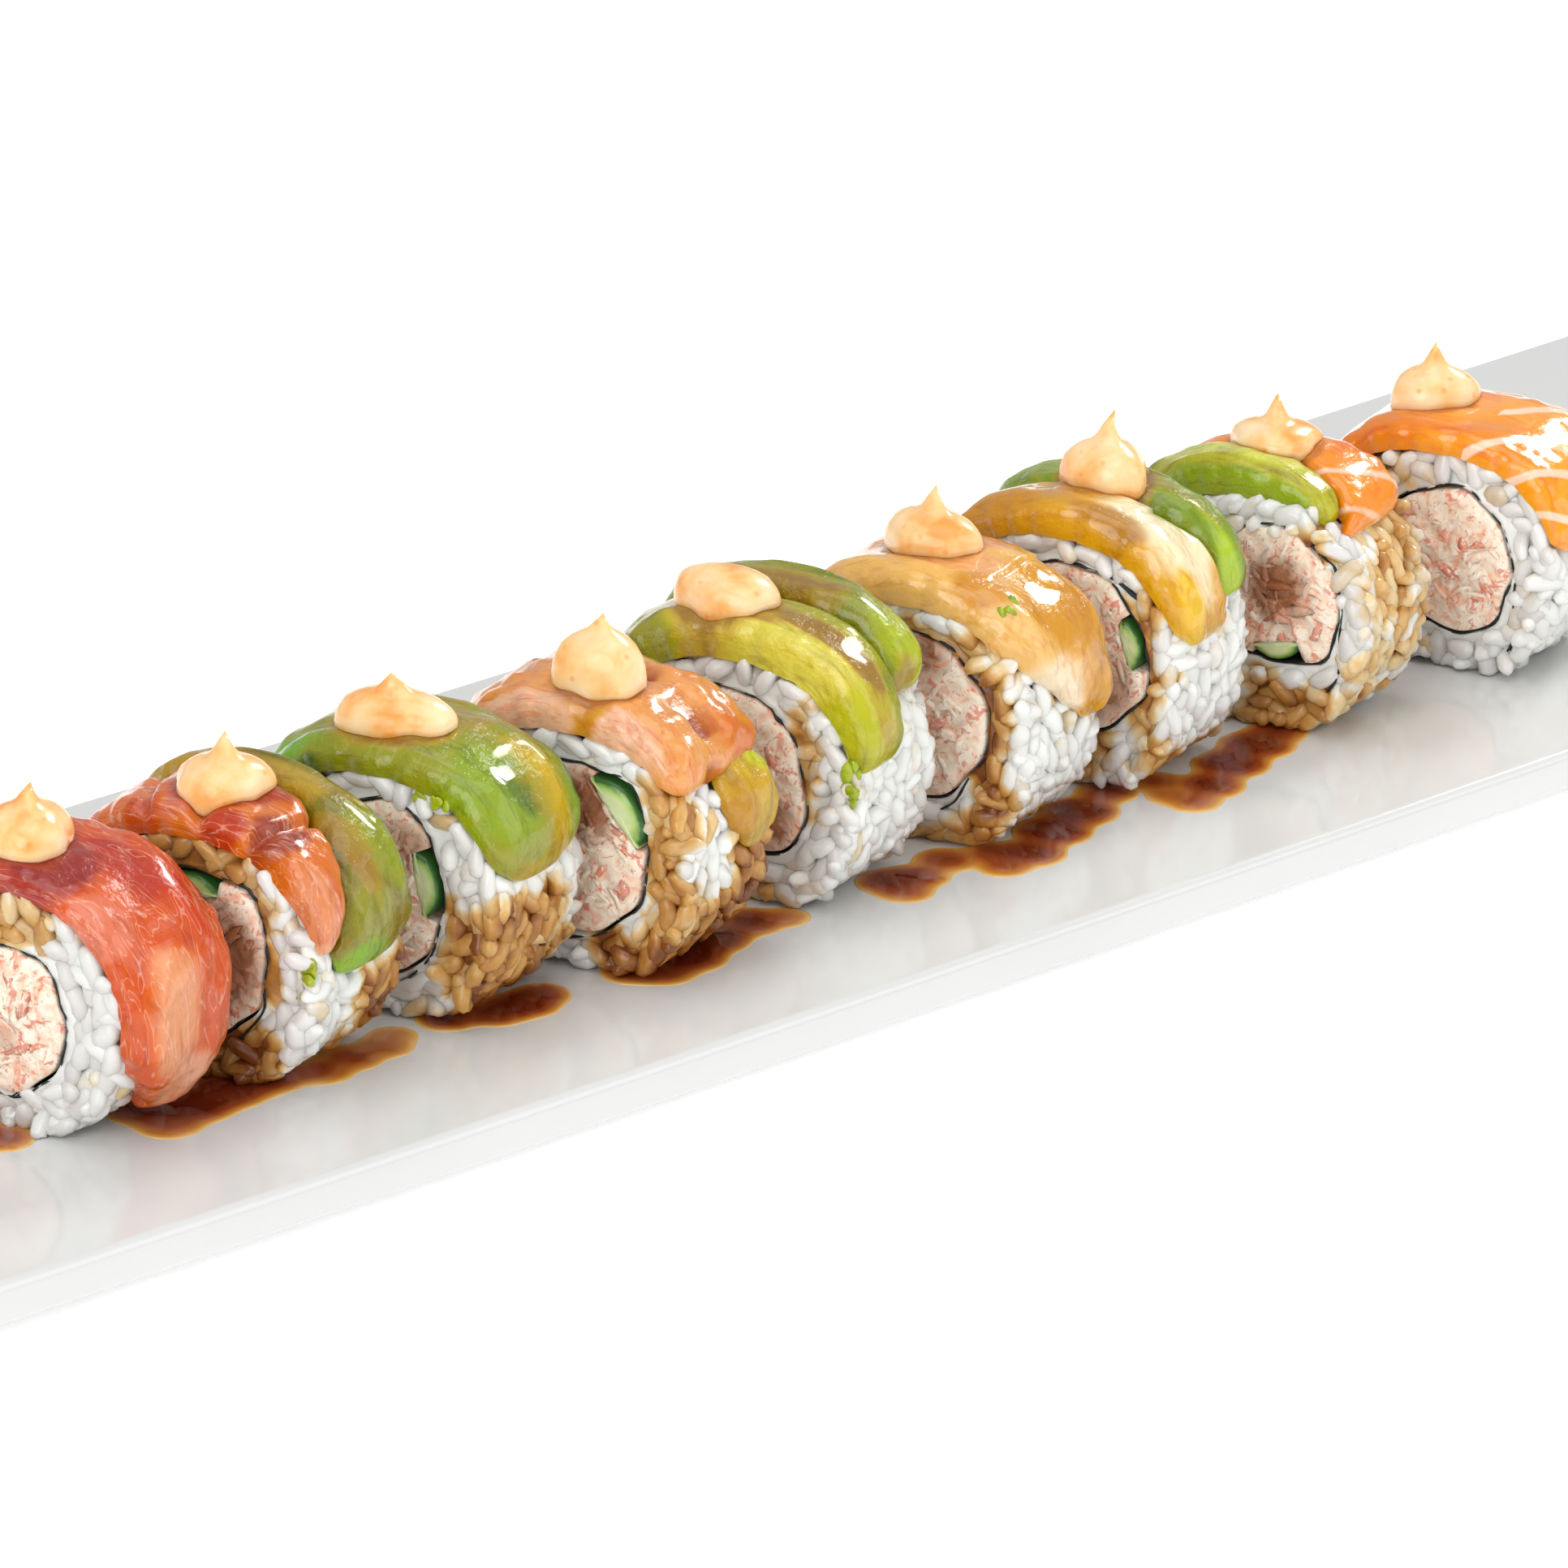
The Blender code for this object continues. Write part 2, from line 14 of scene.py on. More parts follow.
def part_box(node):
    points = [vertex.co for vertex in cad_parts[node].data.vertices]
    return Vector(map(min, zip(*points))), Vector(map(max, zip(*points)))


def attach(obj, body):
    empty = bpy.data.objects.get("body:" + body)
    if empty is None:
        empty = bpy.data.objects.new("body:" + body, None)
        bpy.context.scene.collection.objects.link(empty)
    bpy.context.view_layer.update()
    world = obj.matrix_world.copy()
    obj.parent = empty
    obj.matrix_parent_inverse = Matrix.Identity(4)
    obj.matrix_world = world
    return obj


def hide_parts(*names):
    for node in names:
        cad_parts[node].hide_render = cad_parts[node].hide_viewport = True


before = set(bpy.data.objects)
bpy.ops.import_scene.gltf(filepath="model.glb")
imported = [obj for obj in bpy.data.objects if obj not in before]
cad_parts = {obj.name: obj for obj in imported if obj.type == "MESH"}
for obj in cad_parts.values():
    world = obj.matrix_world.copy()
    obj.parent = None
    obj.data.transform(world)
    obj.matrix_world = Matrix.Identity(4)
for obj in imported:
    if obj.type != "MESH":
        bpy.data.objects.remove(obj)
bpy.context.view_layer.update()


# The plate: a long slab of white porcelain, pressed in a mould, glazed and fired. Its edge is
# rounded by the glaze, its ends curve up a little and it stands on a shallow unglazed foot.
MM = 0.001
PLATE_LENGTH = 460.0
PLATE_WIDTH = 128.5
PLATE_THICKNESS = 6.0
PLATE_CORNER = 7.0
PLATE_TOP_EDGE = 1.6
PLATE_UNDER_EDGE = 0.8
PLATE_END_RISE = 1.3
PLATE_BANDS = 24
FOOT_HEIGHT = 1.5
FOOT_INSET = 14.0
PLATE_TOP = FOOT_HEIGHT + PLATE_THICKNESS


def colour_of(hex_code):
    """An sRGB hex colour as the linear values that a shader takes."""
    channels = [int(hex_code[place:place + 2], 16) / 255 for place in (1, 3, 5)]
    linear = [c / 12.92 if c <= 0.04045 else ((c + 0.055) / 1.055) ** 2.4 for c in channels]
    return (*linear, 1.0)


def new_finish(name, **settings):
    """A material whose shader has these values on its own sockets."""
    finish = bpy.data.materials.new(name)
    finish.use_nodes = True
    shader = finish.node_tree.nodes["Principled BSDF"]
    for socket, value in settings.items():
        shader.inputs[socket.replace("_", " ")].default_value = value
    return finish, finish.node_tree, shader


def add_node(tree, kind, settings=(), links=(), **values):
    """Adds a node, sets its properties and input values, and links its inputs to outputs."""
    node = tree.nodes.new(kind)
    for name, value in dict(settings).items():
        setattr(node, name, value)
    for name, value in values.items():
        node.inputs[name.replace("_", " ")].default_value = value
    for name, output in dict(links).items():
        tree.links.new(output, node.inputs[name])
    return node


def ramp(tree, source, stops):
    """Colours or greys along a factor, from (place, hex) stops."""
    node = add_node(tree, "ShaderNodeValToRGB", links={"Fac": source})
    elements = node.color_ramp.elements
    while len(elements) < len(stops):
        elements.new(0.5)
    for element, (place, hex_code) in zip(elements, stops):
        element.position = place
        element.color = colour_of(hex_code)
    return node.outputs["Color"]


def blend_colours(tree, factor, first, second, mode="MIX"):
    """Mixes two colours, each an output or a hex code, by a factor output or number."""
    node = add_node(tree, "ShaderNodeMix", {"data_type": "RGBA", "blend_type": mode})
    for index, value in ((0, factor), (6, first), (7, second)):
        if isinstance(value, str):
            node.inputs[index].default_value = colour_of(value)
        elif isinstance(value, float):
            node.inputs[index].default_value = value
        else:
            tree.links.new(value, node.inputs[index])
    return node.outputs[2]


def add_bump(tree, shader, height, strength, distance_mm):
    """Raises the surface by a height output."""
    bump = add_node(tree, "ShaderNodeBump", links={"Height": height})
    bump.inputs["Strength"].default_value = strength
    bump.inputs["Distance"].default_value = distance_mm * MM
    tree.links.new(bump.outputs["Normal"], shader.inputs["Normal"])


def place_of(tree):
    """Object coordinates, in metres."""
    return add_node(tree, "ShaderNodeTexCoord").outputs["Object"]


def noise_on(tree, place, scale, detail, distortion=0.0):
    """A noise pattern over a piece, as a factor output."""
    return add_node(tree, "ShaderNodeTexNoise", links={"Vector": place}, Scale=scale, Detail=detail,
                    Distortion=distortion).outputs["Fac"]


def start_afresh():
    """Nothing selected, so that the next operator acts only on the new piece."""
    if bpy.context.object and bpy.context.object.mode != "OBJECT":
        bpy.ops.object.mode_set(mode="OBJECT")
    bpy.ops.object.select_all(action="DESELECT")


def select_edges(piece, wanted):
    """In edit mode, selects the edges that a test on the edge accepts."""
    bpy.ops.mesh.select_mode(type="EDGE")
    bpy.ops.mesh.select_all(action="DESELECT")
    mesh = bmesh.from_edit_mesh(piece.data)
    for edge in mesh.edges:
        edge.select_set(wanted(edge))
    bmesh.update_edit_mesh(piece.data)


def plate_rise(x):
    """How far the plate curves up at this place along it."""
    return PLATE_END_RISE * (2 * x / PLATE_LENGTH) ** 2


start_afresh()
bpy.ops.mesh.primitive_cube_add(size=1, location=(0, 0, (FOOT_HEIGHT + PLATE_THICKNESS / 2) * MM))
plate = bpy.context.object
plate.name = "porcelain_plate"
plate.scale = (PLATE_LENGTH * MM, PLATE_WIDTH * MM, PLATE_THICKNESS * MM)
bpy.ops.object.transform_apply(location=True, scale=True)
bpy.ops.object.mode_set(mode="EDIT")
select_edges(plate, lambda edge: abs(edge.verts[0].co.z - edge.verts[1].co.z) > MM)
bpy.ops.mesh.bevel(offset=PLATE_CORNER * MM, segments=8, affect="EDGES")
for band in range(1, PLATE_BANDS):
    bpy.ops.mesh.select_all(action="SELECT")
    cut_x = (band / PLATE_BANDS - 0.5) * (PLATE_LENGTH - 2 * PLATE_CORNER) * MM
    bpy.ops.mesh.bisect(plane_co=(cut_x, 0, 0), plane_no=(1, 0, 0))
for height, width, steps in ((PLATE_TOP, PLATE_TOP_EDGE, 6), (FOOT_HEIGHT, PLATE_UNDER_EDGE, 3)):
    level = height * MM
    select_edges(plate, lambda edge: all(abs(v.co.z - level) < 1e-6 for v in edge.verts)
                 and edge.calc_face_angle(0.0) > 1.0)
    bpy.ops.mesh.bevel(offset=width * MM, segments=steps, affect="EDGES")
bpy.ops.mesh.select_mode(type="FACE")
bpy.ops.mesh.select_all(action="DESELECT")
under = bmesh.from_edit_mesh(plate.data)
for face in under.faces:
    face.select_set(face.normal.z < -0.99)
bmesh.update_edit_mesh(plate.data)
bpy.ops.mesh.inset(thickness=FOOT_INSET * MM)
bpy.ops.mesh.extrude_region_move(TRANSFORM_OT_translate={"value": (0, 0, -FOOT_HEIGHT * MM)})
bpy.ops.object.mode_set(mode="OBJECT")
for vertex in plate.data.vertices:
    if vertex.co.z > FOOT_HEIGHT * MM * 0.5:
        vertex.co.z += plate_rise(vertex.co.x / MM) * MM
bpy.ops.object.shade_smooth_by_angle(angle=math.radians(35))

# Glazed porcelain: a hard white body under clear glaze, so broad soft reflections over white.
porcelain, tree, shader = new_finish("glazed_porcelain", Roughness=0.16, IOR=1.5, Coat_Weight=0.35,
                                     Coat_Roughness=0.06)
place = place_of(tree)
tone = ramp(tree, noise_on(tree, place, 18.0, 3.0), ((0.3, "#cfd0cf"), (0.7, "#d3d4d2")))
tree.links.new(tone, shader.inputs["Base Color"])
add_bump(tree, shader, noise_on(tree, place, 55.0, 2.0), 0.05, 0.4)
plate.data.materials.append(porcelain)
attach(plate, "root")
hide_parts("plate")


# The rice: short-grain sushi rice pressed round the filling, cooked grains about 6 mm long. Each
# slice has its own grains over a rough core of packed rice; sauce has soaked into some of them.
TURN = math.radians(18.0)
RICE_HALF_WIDTH = 20.0
SQUARENESS = 2.3
BOTTOM_SINK = 1.4
SLICES = (
    {"place": (-170.2, -22.2), "thick": 22.0, "rice": 34.0, "core": (-0.5, 15.8), "half": (11.6, 10.3)},
    {"place": (-139.5, -25.4), "thick": 22.0, "rice": 34.5, "core": (0.5, 18.4), "half": (11.6, 11.9)},
    {"place": (-106.9, -24.7), "thick": 22.0, "rice": 35.0, "core": (-0.5, 19.0), "half": (11.4, 12.2)},
    {"place": (-76.6, -29.5), "thick": 22.0, "rice": 35.0, "core": (1.0, 18.6), "half": (12.0, 12.6)},
    {"place": (-42.3, -25.3), "thick": 22.0, "rice": 35.8, "core": (-0.3, 18.4), "half": (11.6, 12.4)},
    {"place": (-9.3, -24.6), "thick": 22.0, "rice": 35.4, "core": (0.8, 19.0), "half": (11.8, 12.6)},
    {"place": (21.6, -22.6), "thick": 22.0, "rice": 37.6, "core": (2.6, 20.8), "half": (11.8, 12.8)},
    {"place": (57.5, -24.1), "thick": 21.0, "rice": 34.8, "core": (4.2, 20.6), "half": (11.6, 10.4)},
    {"place": (94.6, -26.2), "thick": 22.0, "rice": 33.6, "core": (1.0, 17.0), "half": (11.6, 10.9)},
)

# Where each topping lies: its long edges as (degrees from the top to the front, mm from the cut
# face), and the heights above the plate of its back end and front end. Most are flush with the
# cut faces; where two lie side by side they share a seam.
NEAR_FACE = ((-90, 0), (90, 0))
FAR_FACE = ((-90, 22), (90, 22))
SEAM_2 = ((-90, 19), (-45, 17.5), (15, 15), (45, 8.5), (80, 3.6))
SEAM_5 = ((-90, 12), (-30, 13.5), (45, 12), (80, 9.5), (100, 8))
SEAM_7 = ((-90, 15), (-30, 13), (20, 12), (50, 14), (90, 16))
SEAM_8 = ((-90, 11), (0, 11), (35, 6))
TOPPINGS = (
    {"node": "tuna_1", "slice": 1, "thick": 4.6, "ends": (14, 3.5),
     "near": ((-90, 0), (60, 0), (95, 0), (125, 7)), "far": ((-90, 22), (60, 22), (100, 20), (125, 15))},
    {"node": "tuna_2", "slice": 2, "thick": 4.6, "ends": (16, 21.5),
     "near": NEAR_FACE, "far": SEAM_2},
    {"node": "avocado_2", "slice": 2, "thick": 4.8, "ends": (18, 16.5),
     "near": (*SEAM_2, (100, 1.5)),
     "far": ((-90, 22), (60, 22), (100, 20))},
    {"node": "avocado_3", "slice": 3, "thick": 5.0, "ends": (16, 19.0),
     "near": NEAR_FACE, "far": ((-90, 22), (60, 22), (90, 18))},
    {"node": "shrimp_4", "slice": 4, "thick": 5.2, "ends": (17, 28.0),
     "near": NEAR_FACE, "far": FAR_FACE},
    {"node": "avocado_4", "slice": 4, "thick": 3.2, "ends": (31, 18.5), "front_only": True,
     "near": ((40, 10), (75, 10), (100, 12)), "far": ((40, 22), (100, 22))},
    {"node": "avocado_5", "slice": 5, "thick": 6.2, "ends": (17, 19.5),
     "near": NEAR_FACE, "far": SEAM_5},
    {"node": "avocado_rear_5", "slice": 5, "thick": 7.4, "ends": (20, 29.0),
     "near": SEAM_5, "far": FAR_FACE},
    {"node": "whitefish_6", "slice": 6, "thick": 5.0, "ends": (15, 18.5),
     "near": ((-90, 0), (40, 0), (62, 4), (90, 14)), "far": FAR_FACE},
    {"node": "whitefish_7", "slice": 7, "thick": 4.8, "ends": (18, 20.5),
     "near": ((-90, 0), (60, 0), (95, 5)), "far": SEAM_7},
    {"node": "avocado_7", "slice": 7, "thick": 5.0, "ends": (22, 26.5),
     "near": SEAM_7, "far": FAR_FACE},
    {"node": "avocado_8", "slice": 8, "thick": 5.4, "ends": (18, 32.0),
     "near": ((-90, 1), (0, 1.5), (35, 2)), "far": SEAM_8},
    {"node": "salmon_8", "slice": 8, "thick": 5.0, "ends": (20, 29.0),
     "near": (*SEAM_8, (45, 0), (90, 2)), "far": ((-90, 21), (90, 21))},
    {"node": "salmon_9", "slice": 9, "thick": 4.2, "ends": (16, 21.5),
     "near": NEAR_FACE, "far": FAR_FACE},
)

# Sauce soaked into the rice, for each slice: from and to across the cut face (0 is its middle,
# 20 its front edge, 42 the far edge of its front side), from and to in height, and how dark.
SOAKED = {
    1: ((-4, 8, 26, 34, 0.5), (-20, -8, 0, 30, 0.3)),
    2: ((-8, 11, 27, 35, 0.6), (9, 14, 12, 28, 0.6), (-9, 13, -2, 9, 0.85), (28, 42, -2, 16, 0.75),
        (23, 28, -2, 5, 0.6)),
    3: ((11, 34, -2, 19, 0.68), (34, 42, -2, 9, 0.62), (-12, -6, 4, 30, 0.35)),
    4: ((12.5, 20, 6, 31, 0.6), (4, 42, -2, 7, 0.85), (21, 42, 0, 13, 0.78), (29, 42, 10, 20, 0.7),
        (-14, 6, 27, 31, 0.25)),
    5: ((10, 13, 14, 32, 0.65), (-10, 8, -2, 4, 0.3), (30, 42, -2, 3, 0.35)),
    6: ((-4, 12, 25, 33, 0.5), (10, 16.5, 0, 29, 0.8), (0, 30, -2, 3.5, 0.6)),
    7: ((13, 17, 5, 32, 0.62), (4, 8, 0, 14, 0.55), (6, 12, 27, 30, 0.6), (16, 34, -2, 5, 0.62)),
    8: ((-1, 15, -2, 8, 0.62), (8.5, 13, 27, 32, 0.95), (22, 34, 16, 32, 0.5), (15, 22, -2, 7, 0.55),
        (19, 42, 2, 30, 0.3)),
    9: ((-9, -5, 28, 32, 0.3),),
}
GRAIN_LENGTH = 5.9
GRAIN_WIDTH = 3.05
GRAIN_DEPTH = 2.6
GRAIN_SPACING = 2.2
GRAIN_BEND = 0.28
GERM_DENT = 0.25
GRAIN_BLUNTNESS = 2.6
LAYER_DEPTH = 2.0
INSIDE_CLEARANCE = 1.9
OUTSIDE_CLEARANCE = 1.35
EDGE_CLEARANCE = 1.3
MIDDLE_OF_GRAIN = 1.15
FACE_TRIES = 1500
SIDE_TRIES = 2600
LOWEST_GRAIN = 1.2
CORE_COLUMNS = 72
CORE_ROUGHNESS = 0.35
SQUEEZE = 0.11
SAUCE_SPREAD = 3.0

# The filling's outline waves in and out: waves round it, shift from slice to slice, mm
CORE_SQUARENESS = 2.2
CORE_WAVES = ((3, 1, 0.5), (5, 2, 0.3), (9, -1, 0.2))


def between(knots, at):
    """Straight-line values between (position, value) knots."""
    return np.interp(at, [knot[0] for knot in knots], [knot[1] for knot in knots])


def oval(angle, half_width, half_height, squareness):
    """Front and height of a rounded square, at angles from its top towards the front."""
    sine, cosine = np.sin(angle), np.cos(angle)
    front = np.sign(sine) * np.abs(sine) ** (2 / squareness) * half_width
    return front, np.sign(cosine) * np.abs(cosine) ** (2 / squareness) * half_height


def rice_skin(row, angle, out=0.0):
    """Back and height of the pressed rice's skin, or a distance outside it."""
    half_height = (row["rice"] + BOTTOM_SINK) / 2
    uneven = 1 + 0.012 * np.sin(2 * angle + row["place"][0])
    front, height = oval(angle, RICE_HALF_WIDTH * uneven + out, half_height + out, SQUARENESS)
    return -front, np.maximum(height + row["rice"] - half_height, 0.0)


def core_skin(row, angle, out=0.0):
    """Back and height of the filling's skin, or a distance outside it."""
    half_width, half_height = row["half"]
    start = row["place"][0]
    out = out + sum(size * np.sin(waves * angle + shift * start) for waves, shift, size in CORE_WAVES)
    front, height = oval(angle, half_width + out, half_height + out, CORE_SQUARENESS)
    return -row["core"][0] - front, row["core"][1] + height


BASES = {number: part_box(f"rice_{number}")[0][2] for number in range(1, len(SLICES) + 1)}


def in_place(number, points):
    """Points of a slice (mm from its cut face, back, up) as places on the plate, in metres."""
    row = SLICES[number - 1]
    base = BASES[number]
    depth, back, up = np.asarray(points, float).reshape(-1, 3).T
    x = row["place"][0] + depth * math.cos(TURN) - back * math.sin(TURN)
    y = row["place"][1] + depth * math.sin(TURN) + back * math.cos(TURN)
    return np.stack([x * MM, y * MM, up * MM + base], axis=1)


def angle_at(row, height, side):
    """Degrees from the top at which the rice's skin is this high, to the nearest 11.25."""
    steps = np.arange(1, 16) * 11.25
    heights = rice_skin(row, np.radians(steps * side))[1]
    return side * steps[np.argmin(np.abs(heights - height))]


def run_of(topping):
    """Degrees of a topping's back end and front end."""
    row = SLICES[topping["slice"] - 1]
    back_side = 1 if topping.get("front_only") else -1
    return angle_at(row, topping["ends"][0], back_side), angle_at(row, topping["ends"][1], 1)


RUNS = {topping["node"]: run_of(topping) for topping in TOPPINGS}


def noise_plus(tree, pattern, share, amount):
    """A share of a noise pattern added to a painted amount, so that the amount's edge breaks up."""
    node = add_node(tree, "ShaderNodeMath", {"operation": "MULTIPLY_ADD"}, {0: pattern, 2: amount})
    node.inputs[1].default_value = share
    return node.outputs[0]


def bare(number, degrees, depth):
    """True where no topping lies over these places on the rice."""
    open_air = np.ones(len(degrees), bool)
    for topping in TOPPINGS:
        if topping["slice"] == number:
            first, last = RUNS[topping["node"]]
            near, far = between(topping["near"], degrees), between(topping["far"], degrees)
            along = (degrees > first + 2) & (degrees < last - 2)
            open_air &= ~(along & (depth > near + 1) & (depth < far - 1))
    return open_air


def soaked(number, across, height):
    """How much sauce has soaked in at a place on the cut face and front side, 0 to 1."""
    across = across + 1.2 * np.sin(0.55 * height + number) + 0.6 * np.sin(1.9 * height + 1.7 * number)
    height = height + 1.0 * np.sin(0.5 * across + 2 * number) + 0.5 * np.sin(1.7 * across)
    most = np.zeros(np.broadcast(across, height).shape)
    for left, right, low, high, strength in SOAKED[number]:
        inside = np.minimum.reduce(np.broadcast_arrays(across - left, right - across, height - low,
                                                       high - height))
        most = np.maximum(most, strength * np.clip(inside / SAUCE_SPREAD + 0.5, 0, 1))
    return most


def mesh_piece(name, points, faces, finish, smooth=True):
    """A new piece from points in metres."""
    mesh = bpy.data.meshes.new(name)
    mesh.from_pydata([tuple(point) for point in points], [], faces)
    mesh.update()
    piece = bpy.data.objects.new(name, mesh)
    bpy.context.scene.collection.objects.link(piece)
    if smooth:
        mesh.shade_smooth()
    mesh.materials.append(finish)
    return piece


def face_outwards(piece):
    """Turns every face of the piece to point out of it."""
    shell = bmesh.new()
    shell.from_mesh(piece.data)
    bmesh.ops.recalc_face_normals(shell, faces=shell.faces)
    shell.to_mesh(piece.data)
    shell.free()


def paint(piece, name, values):
    """Stores one number a point, which the piece's material reads by name."""
    layer = piece.data.attributes.new(name, "FLOAT", "POINT")
    layer.data.foreach_set("value", np.asarray(values, np.float32))


def painted(tree, name):
    """The number that paint stored, as an output."""
    return add_node(tree, "ShaderNodeAttribute", {"attribute_name": name}).outputs["Fac"]


def ring_faces(rings, columns, close_rings=False):
    """Quads over rings of points whose columns close on themselves."""
    ring, column = np.meshgrid(np.arange(rings if close_rings else rings - 1), np.arange(columns),
                               indexing="ij")
    beside = (column + 1) % columns
    following = (ring + 1) % rings
    quads = np.stack([ring * columns + column, ring * columns + beside,
                      following * columns + beside, following * columns + column], axis=-1)
    return quads.reshape(-1, 4).tolist()


# One cooked grain: a blunt-ended oval, slightly flat and bent, with a dent where the germ was.
start_afresh()
bpy.ops.mesh.primitive_uv_sphere_add(segments=9, ring_count=6, radius=0.5)
grain = bpy.context.object
bpy.ops.object.mode_set(mode="EDIT")
bpy.ops.mesh.select_all(action="SELECT")
bpy.ops.transform.resize(value=(GRAIN_WIDTH, GRAIN_DEPTH, GRAIN_LENGTH))
bpy.ops.object.mode_set(mode="OBJECT")
grain_points = np.array([vertex.co for vertex in grain.data.vertices])
grain_faces = [list(polygon.vertices) for polygon in grain.data.polygons]
bpy.data.objects.remove(grain, do_unlink=True)
along = grain_points[:, 2] / (GRAIN_LENGTH / 2)
fullness = (1 - np.abs(along) ** GRAIN_BLUNTNESS).clip(0, 1) ** 0.42 / np.sqrt((1 - along ** 2).clip(1e-3, 1))
grain_points[:, :2] *= np.where(np.abs(along) > 0.99, 0.0, fullness)[:, None]
grain_points[:, 0] += GRAIN_BEND * (1 - along ** 2) - GERM_DENT * (along > 0.6) * (grain_points[:, 0] > 0)
grain_points = grain_points[:, [2, 0, 1]]


def lay_grains(places, lengthways, outwards, sizes, chance):
    """Joined grains: each along its own direction, flat side out, with its own length."""
    points, faces = [], []
    count = len(grain_points)
    for index, (place, length, out, size) in enumerate(zip(places, lengthways, outwards, sizes)):
        out = out / np.linalg.norm(out)
        length = length - out * (length @ out) * 0.62
        length = length / np.linalg.norm(length)
        side = np.cross(out, length)
        side = side / np.linalg.norm(side)
        roll = chance.uniform(-0.5, 0.5)
        lift = np.cross(length, side)
        turn = np.stack([length, side * math.cos(roll) + lift * math.sin(roll),
                         lift * math.cos(roll) - side * math.sin(roll)])
        points.append((grain_points * size) @ turn + place)
        faces += [[vertex + index * count for vertex in face] for face in grain_faces]
    return np.concatenate(points), faces


def thinned(places, spacing):
    """Keeps the places that lie at least a spacing from those kept before."""
    kept = np.empty((0, 3))
    chosen = []
    for index in range(len(places)):
        if len(kept) == 0 or np.min(np.sum((kept - places[index]) ** 2, axis=1)) > spacing ** 2:
            kept = np.vstack([kept, places[index]])
            chosen.append(index)
    return chosen


def face_grains(number, chance, layer, far_side):
    """Places and directions of the grains on one cut face, and their painted shade, greyer than on the front
    side.
    """
    row = SLICES[number - 1]
    angle = chance.uniform(-math.pi, math.pi, FACE_TRIES)
    part = chance.uniform(0, 1, FACE_TRIES) ** 0.85
    inner = np.stack(core_skin(row, angle, INSIDE_CLEARANCE))
    outer = np.stack(rice_skin(row, angle, -OUTSIDE_CLEARANCE))
    back, up = inner + (outer - inner) * part
    up = np.maximum(up, LOWEST_GRAIN + 0.05)
    depth = chance.uniform(0.5, 1.6, FACE_TRIES) + layer * LAYER_DEPTH
    depth = row["thick"] - depth if far_side else depth
    places = np.stack([depth, back, up], axis=1)
    chosen = thinned(places, GRAIN_SPACING + 0.35 * layer)
    lengths, outs = [], []
    for index in chosen:
        skew = chance.normal(0, 0.8 if 0.2 < part[index] < 0.85 else 0.3)
        heading = angle[index] + skew
        direction = np.array([chance.normal(0, 0.25), -math.cos(heading), -math.sin(heading)])
        if chance.uniform() < 0.3:
            direction = np.array([1.0, chance.normal(0, 0.6), chance.normal(0, 0.6)])
        lengths.append(direction)
        outs.append(np.array([1.0 if far_side else -1.0, chance.normal(0, 0.2), chance.normal(0, 0.2)]))
    # Painted shade: grains on the near cut face get a greyer white than the lit front side, and those on the
    # far face greyer still.
    return places[chosen], lengths, outs, [0.0 if far_side else 0.3] * len(chosen)


def side_grains(number, chance, layer):
    """Places and directions of the grains round the outside, where no topping lies, and their painted light,
    whiter than on the cut faces.
    """
    row = SLICES[number - 1]
    angle = chance.uniform(-math.pi, math.pi, SIDE_TRIES)
    depth = chance.uniform(EDGE_CLEARANCE, row["thick"] - EDGE_CLEARANCE, SIDE_TRIES)
    open_air = bare(number, np.degrees(angle), depth)
    angle, depth = angle[open_air], depth[open_air]
    back, up = rice_skin(row, angle, -chance.uniform(0.8, 1.7, len(angle)) - layer * LAYER_DEPTH)
    up = np.where(up < LOWEST_GRAIN, LOWEST_GRAIN + layer * 1.6, up)
    places = np.stack([depth, back, up], axis=1)
    chosen = thinned(places, GRAIN_SPACING + 0.3 * layer)
    here = rice_skin(row, angle, -MIDDLE_OF_GRAIN)
    beyond = rice_skin(row, angle + 0.03, -MIDDLE_OF_GRAIN)
    further = np.stack(beyond, axis=1) - np.stack(here, axis=1)
    lengths, outs = [], []
    for index in chosen:
        tangent = further[index] / max(np.linalg.norm(further[index]), 1e-6)
        heading = chance.normal(0.2, 0.75)
        lengths.append(np.array([math.sin(heading), *(tangent * math.cos(heading))]))
        outs.append(np.array([0.0, tangent[1], -tangent[0]]) + chance.normal(0, 0.3, 3))
    # Painted light: grains on the front side get the whitest white, where the light falls most.
    return places[chosen], lengths, outs, [0.75] * len(chosen)


# Cooked rice: swollen starch, wet with vinegar, so it lets a little light in and shines softly.
# Soaked grains turn amber, then brown.
cooked_rice, tree, shader = new_finish("cooked_sushi_rice", Roughness=0.3, IOR=1.42, Subsurface_Weight=0.12,
                                       Subsurface_Scale=0.002, Subsurface_Radius=(0.9, 0.9, 0.9),
                                       Coat_Weight=0.35, Coat_Roughness=0.1)
place = place_of(tree)
# Painted shade and light: low values give the greyer white of the shaded cut faces, high ones the bright
# white of the lit front side.
white = ramp(tree, painted(tree, "tint_and_painted_shade"), ((0.0, "#d3cfca"), (0.45, "#e6e6e2"), (1.0, "#f1f3ef")))
soak = noise_plus(tree, noise_on(tree, place, 380.0, 3.0), 0.4, painted(tree, "sauce"))
stain = ramp(tree, soak, ((0.3, "#ffffff"), (0.46, "#f6d9a6"), (0.66, "#e4ae60"), (0.84, "#c6863c"),
                          (1.0, "#8f501e")))
tone = blend_colours(tree, 1.0, white, stain, "MULTIPLY")
tree.links.new(tone, shader.inputs["Base Color"])
add_bump(tree, shader, noise_on(tree, place, 700.0, 3.0), 0.3, 0.35)


